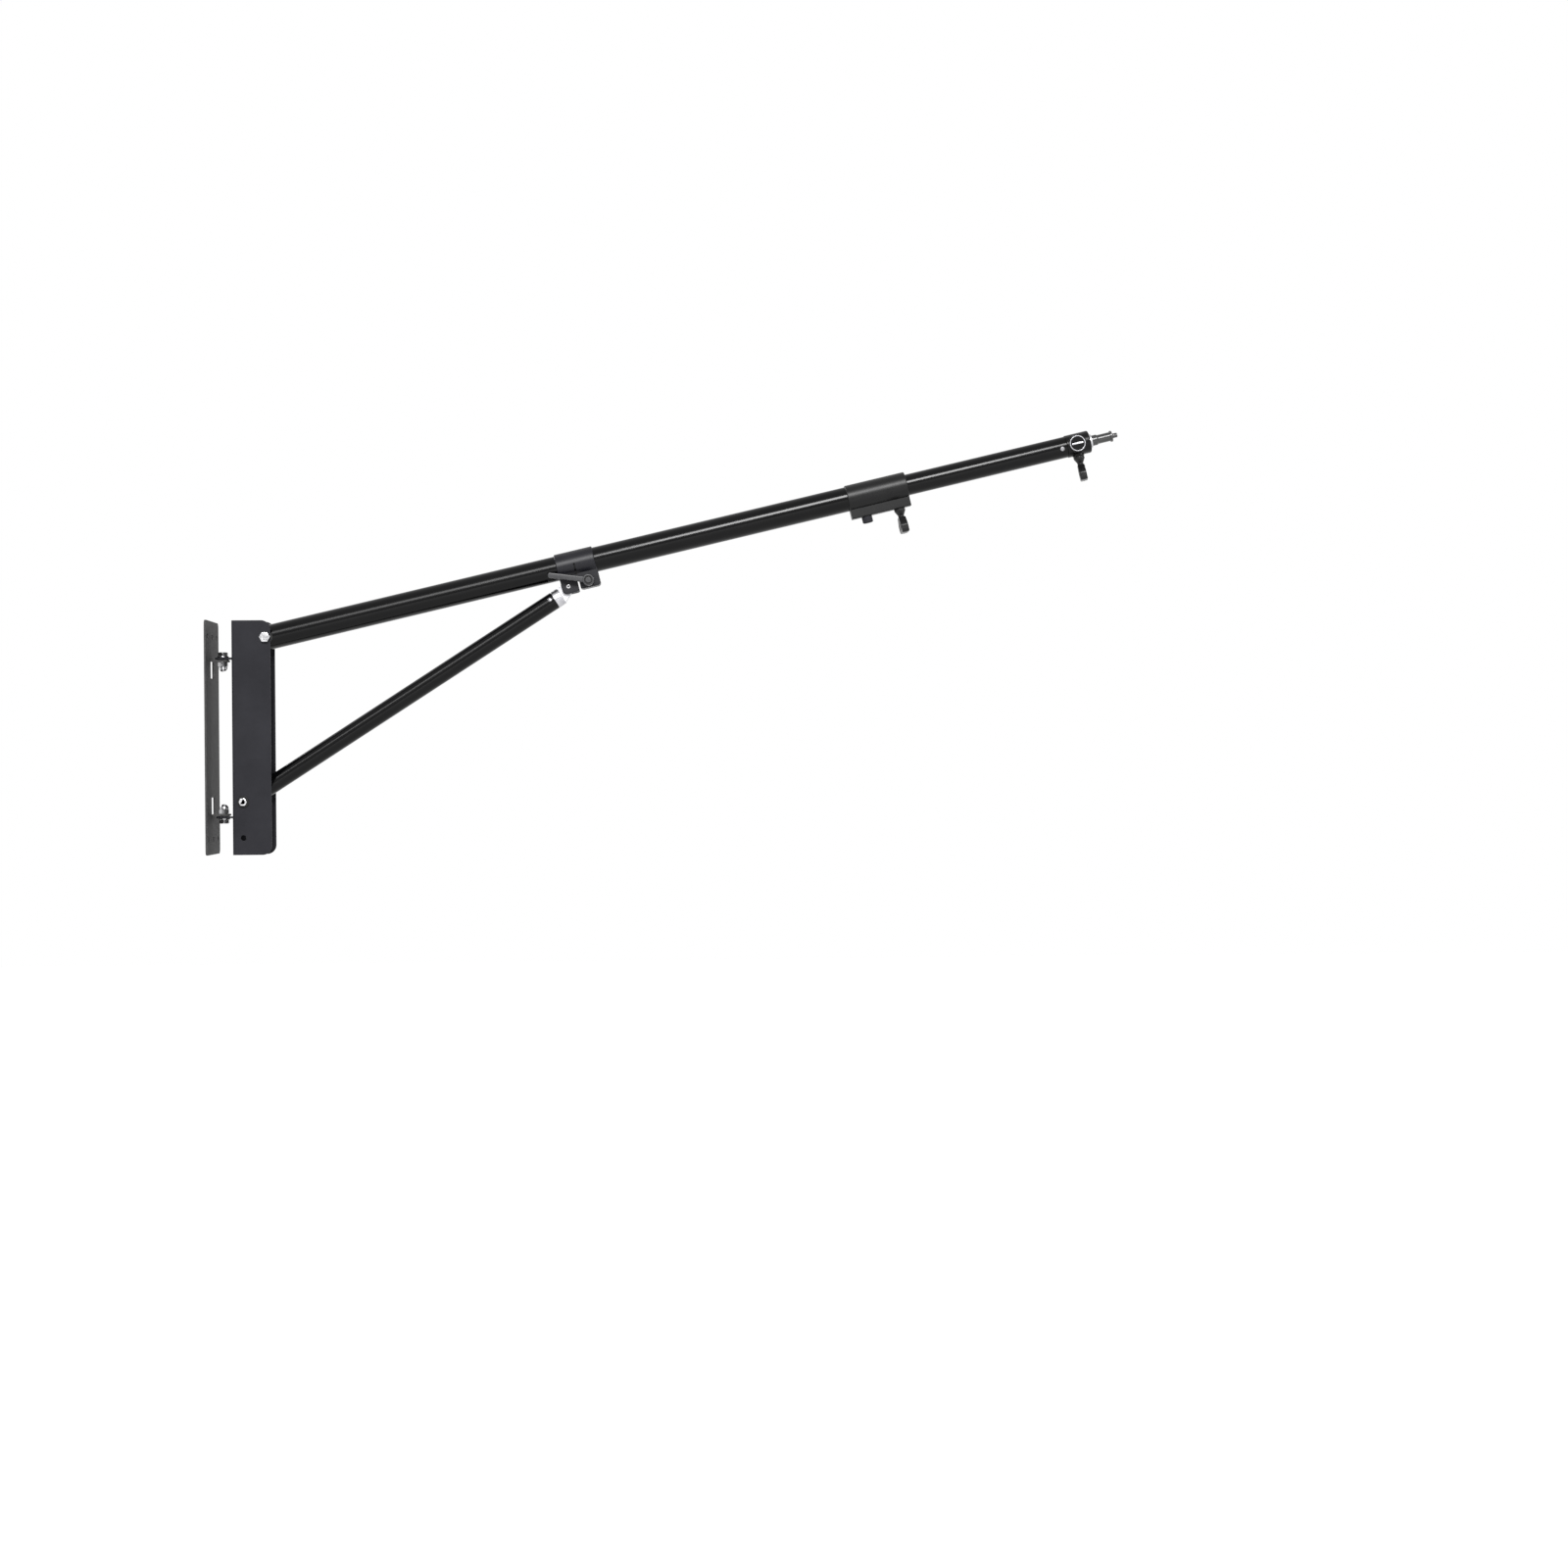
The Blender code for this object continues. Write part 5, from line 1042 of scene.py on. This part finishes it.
# %% [markdown]
# ## Stud
# The stud is turned from bar: a shoulder, a waist where the light's own screw bites, a lip, and a
# threaded tip. A bright flange keeps it from sliding into the head.

# %% Stud
def stud():
    flange_end, lip_start, lip_end, tip = 1.2004, 1.2278, 1.2304, 1.2382
    seat, waist, thread_radius = flange_end + GAP, 0.0064, 0.0032
    bar = lathe([(STUD_ROOT + GAP, STUD_RADIUS, 0.0008), (seat, STUD_RADIUS), (seat, 0.0075, 0.0003),
                 (1.2078, 0.0075, 0.0004), (1.2096, waist, 0.0006), (lip_start, waist, 0.0003),
                 (lip_start, STUD_RADIUS, 0.0003), (lip_end, STUD_RADIUS, 0.0004),
                 (lip_end, thread_radius, 0.0002), (tip, thread_radius, 0.0006)], 64, ease=4)
    dress("spigot_stud", joined(bar, thread(lip_end + 0.0004, 0.0062, 0.00325, M6.pitch)), black_steel, BOOM)
    flange = sleeve(HEAD_END + GAP, flange_end, STUD_BORE, 0.0097, 64, 0.0005)
    dress("spigot_flange", flange, bright_aluminium, BOOM)


stud()

# %% [markdown]
# ## Slide collar and clamp lever
# The collar slides on the boom and carries the brace. A slit runs half round it, and two lugs hang
# below: the back one holds the brace pin in a shallow pocket, and the front one is split and is pulled
# together by the clamp bolt. The lever turns on that bolt. Its hub has a ring round a flat screw, and a
# black disc on the floor of the groove between them is painted shade.

# %% Slide collar
PIN, CLAMP = moved(z=-PIN_BELOW_AXIS), moved(0.0294, 0, -0.0276)
RING_RADIUS, PIN_LUG_OUT, CLAMP_LUG_OUT, POCKET_FLOOR = 0.0196, 0.0125, 0.0135, 0.0107
LUG_TOP = -RING_RADIUS / 3
EYE_RADIUS, HALF_TONGUE = 0.0084, 0.006


def lug(left, right, bottom, radii, half_width):
    """A block that hangs below the collar's ring, with its two lower corners rounded."""
    corners = [(left, LUG_TOP, 0), (left, bottom, radii[0]), (right, bottom, radii[1]), (right, LUG_TOP, 0)]
    return slab(eased(corners, 8), -half_width, half_width, "Y", 0.0008)


def slide_collar():
    back, front, bore_radius, overlap, chamfer = -0.0103, 0.0446, 0.0178, 0.0012, 0.0006
    slit_start, slit_end, split_start, below = 0.0139, 0.0165, 0.0152, -0.08
    body = rod(back, front, RING_RADIUS, ROUND, 0.0012)
    pin_lug = lug(back + chamfer, slit_start + overlap, -0.0394, (0.0065, 0.0045), PIN_LUG_OUT)
    clamp_lug = lug(slit_end - overlap, 0.0456, -0.0371, (0.0055, 0.0045), CLAMP_LUG_OUT)
    bore = lathe([(2 * back, 0.0195), (back + chamfer, bore_radius), (front - chamfer, bore_radius),
                  (2 * front, 0.025)], ROUND)
    slot_side, slot_top = HALF_TONGUE + GAP, -PIN_BELOW_AXIS + EYE_RADIUS + 2 * GAP
    tongue_slot = slab(block((-slot_side, below), (slot_side, slot_top)), 2 * back, split_start, "X")
    slit = slab(block((-0.04, below), (0.04, 0.0006)), slit_start, slit_end, "X")
    split = slab(block((-0.00125, below), (0.00125, -0.01)), split_start, 2 * front, "X")
    pocket = slab(block((back + 0.0042, -0.0360), (slit_start - 0.0026, -0.0215),
                        (0.0035, 0.0025, 0.002, 0.002), 6), -0.02, -0.0119, "Y")
    recess = placed(rod(POCKET_FLOOR, 0.03, 0.0044), PIN @ TO_LEFT)
    holes = drill(M5_HOLE, PIN @ TO_RIGHT, start=-0.04) + drill(M6_HOLE, CLAMP @ TO_RIGHT, start=-0.04)
    solid = carved(body, ("UNION", pin_lug, clamp_lug),
                   ("DIFFERENCE", bore, tongue_slot, slit, split, pocket, recess, *holes))
    dress("slide_collar", solid, satin_grey, COLLAR, cut_edges=0.00025)


def collar_fasteners():
    pin, clamp, clamp_seat = COLLAR @ PIN, COLLAR @ CLAMP, CLAMP_LUG_OUT + GAP
    seat, far = POCKET_FLOOR + GAP, PIN_LUG_OUT + GAP
    length = seat + far + M5.nut + 0.001
    head = lathe([(-0.0016, 0.0022, 0.0006), (-0.0010, 0.0030, 0.0003), (0, 0.0030, 0.0002), (0, M5.radius),
                  (length, M5.radius, 0.0004)], ease=4)
    socket = slab(hexagon(0.0022), -0.003, -0.0007, "X")
    dress("brace_pin", carved(head, ("DIFFERENCE", socket)), bright_zinc, pin @ moved(y=-seat) @ TO_RIGHT)
    hex_nut("brace_pin_nut", M5, pin @ moved(y=far) @ TO_RIGHT)
    hex_bolt("clamp_bolt", M6, 2 * clamp_seat + 0.0097, 0.012, clamp @ moved(y=clamp_seat) @ TO_LEFT)


def clamp_lever():
    place = COLLAR @ CLAMP
    seat, out, length, root, tip = CLAMP_LUG_OUT + GAP, 0.027, 0.0572, 0.0040, 0.0036
    well_floor, screw_floor = out - 0.0016, out - 0.0012
    hub = placed(rod(seat, out, 0.0080, soft=0.0008), TO_LEFT)
    arm = slab(eased([(0, -root, 0), (length, -tip, 0.0028), (length, tip, 0.0028), (0, root, 0)], 8),
               -0.0262, -0.0203, "Y", 0.0012)
    placed(arm, turned_about("Y", -math.radians(159.6)))
    cuts = [*drill(M6_HOLE, TO_LEFT, end=seat + 0.010), placed(rod(well_floor, out + seat, 0.0062), TO_LEFT)]
    dress("clamp_lever", carved(hub, ("UNION", arm), ("DIFFERENCE", *cuts)), lever_grey, place)
    # Painted shade: a black disc on the floor of the hub's groove darkens the ring round the screw.
    dress("clamp_lever", rod(well_floor, screw_floor, 0.0061), satin_black, place @ TO_LEFT, name="well_painted_shade")
    slot = slab(block((-0.0006, -0.006), (0.0006, 0.006)), out - GAP - 0.0006, out + 0.002, "X")
    placed(slot, turned_about("X", math.radians(35)))
    screw = carved(rod(screw_floor, out - GAP, 0.0038, soft=0.0003), ("DIFFERENCE", slot))
    dress("lever_screw", screw, lever_grey, place @ TO_LEFT)


slide_collar()
collar_fasteners()
clamp_lever()

# %% [markdown]
# ## Brace
# The brace is a thinner tube with a bright aluminium plug in each end. Each plug is a turned ring and a
# flat tongue that narrows to an eye. A rivet near the upper end keeps the plug in.

# %% Brace
TONGUE, RING, INSIDE = 0.0151, 0.0112, 0.026
PLUG_ROOT, PLUG_CORNER, FITTED = 0.92 * BRACE_RADIUS, 0.001, BRACE_BORE - GAP
FOOT_AT, FOOT_TONGUE = -math.sqrt(BRACE_LENGTH**2 - BRACE_PIN_RISE**2), 0.0175
FOOT_TILT, COLLAR_PER_RADIAN, BRACE_PER_RADIAN = math.radians(20), -0.1850, 0.84
TUBE_END, TUBE_START = -TONGUE - RING - GAP, FOOT_AT + FOOT_TONGUE + RING + GAP
RIVET_PLACE = moved(TUBE_END - 0.0055) @ turned_about("X", -math.radians(17)) @ TO_LEFT
BRACE_LINE = BRACE @ moved(z=-BRACE_PIN_RISE)


def band(circles, steps=48):
    """The outline of a band stretched round (x, y, radius) circles."""
    points = sorted({(round(px, 7), round(py, 7)) for x, y, radius in circles
                     for px, py in arc((x, y), radius, 0, 360, steps)})

    def chain(run):
        side = []
        for p in run:
            while len(side) > 1 and ((side[-1][0] - side[-2][0]) * (p[1] - side[-2][1])
                                     <= (side[-1][1] - side[-2][1]) * (p[0] - side[-2][0])):
                side.pop()
            side.append(p)
        return side[:-1]

    return chain(points) + chain(points[::-1])


def brace_tube():
    solid = tube(TUBE_START, TUBE_END, BRACE_BORE, BRACE_RADIUS)
    solid = carved(solid, ("DIFFERENCE", *drill(RIVET_HOLE, RIVET_PLACE)))
    dress("brace_tube", solid, gloss_paint, BRACE_LINE)
    rivet("brace_plug_rivet", BRACE_LINE @ RIVET_PLACE @ moved(BRACE_RADIUS + GAP))


def flat_tongue(circles):
    return slab(band(circles), -HALF_TONGUE, HALF_TONGUE, "Y", 0.0004)


def end_plug():
    ring = lathe([(TUBE_END - INSIDE, FITTED, 0.0008), (TUBE_END + GAP, FITTED),
                  (TUBE_END + GAP, BRACE_RADIUS, 0.0004), (-TONGUE, BRACE_RADIUS, 0.0008)], ROUND, ease=4)
    grooves = [sleeve(-TONGUE - at - 0.0008, -TONGUE - at, BRACE_RADIUS - 0.0006, 0.02, ROUND)
               for at in (0.0026, 0.0062)]
    tongue = flat_tongue([(0, BRACE_PIN_RISE, EYE_RADIUS)] + [
        (-TONGUE - PLUG_CORNER, side * (PLUG_ROOT - PLUG_CORNER), PLUG_CORNER) for side in (1, -1)])
    holes = drill(M5_HOLE, moved(z=BRACE_PIN_RISE) @ TO_RIGHT, start=-0.06)
    holes += drill(RIVET_HOLE, RIVET_PLACE, start=BRACE_BORE - 0.005)
    solid = carved(ring, ("UNION", tongue), ("DIFFERENCE", *grooves, *holes))
    dress("brace_end_plug", solid, bright_aluminium, BRACE_LINE)


def foot_shift(turn):
    """How far the pivot bolt moves in the foot when the boom tilts by turn."""
    along, across = directions(BOOM_TILT + turn)
    pin = BOOM_PIVOT + (COLLAR_AT + COLLAR_PER_RADIAN * turn) * along - PIN_BELOW_AXIS * across
    along, across = directions(BRACE_TILT + BRACE_PER_RADIAN * turn)
    shift = BRACE_PIVOT - (pin + FOOT_AT * along - BRACE_PIN_RISE * across)
    return shift.dot(along), shift.dot(across)


def foot():
    """The lower plug. Its eye is drawn out to a slot, as in the model, and sits inside the channel."""
    end = FOOT_AT + FOOT_TONGUE
    ring = lathe([(end, BRACE_RADIUS, 0.0008), (end + RING, BRACE_RADIUS, 0.0004), (end + RING, FITTED),
                  (end + INSIDE, FITTED, 0.0008)], ROUND, ease=4)
    slot = [(FOOT_AT + along, across, 0.0039)
            for along, across in ((0, 0), foot_shift(-FOOT_TILT), foot_shift(FOOT_TILT))]
    ear = [(FOOT_AT, 0, 0.0064)] + [(x, z, radius + 0.003) for x, z, radius in slot[1:]]
    ear += [(end + PLUG_CORNER, side * (PLUG_ROOT - PLUG_CORNER), PLUG_CORNER) for side in (1, -1)]
    solid = carved(ring, ("UNION", flat_tongue(ear)), ("DIFFERENCE", slab(band(slot), -0.02, 0.02, "Y")))
    dress("brace_foot", solid, bright_aluminium, BRACE_LINE)


brace_tube()
end_plug()
foot()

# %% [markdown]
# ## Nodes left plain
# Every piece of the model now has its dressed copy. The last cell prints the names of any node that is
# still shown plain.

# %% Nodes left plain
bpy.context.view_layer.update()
left = [name for name, thing in frame["nodes"].items() if not thing.hide_render]
print("nodes still shown plain:", left)
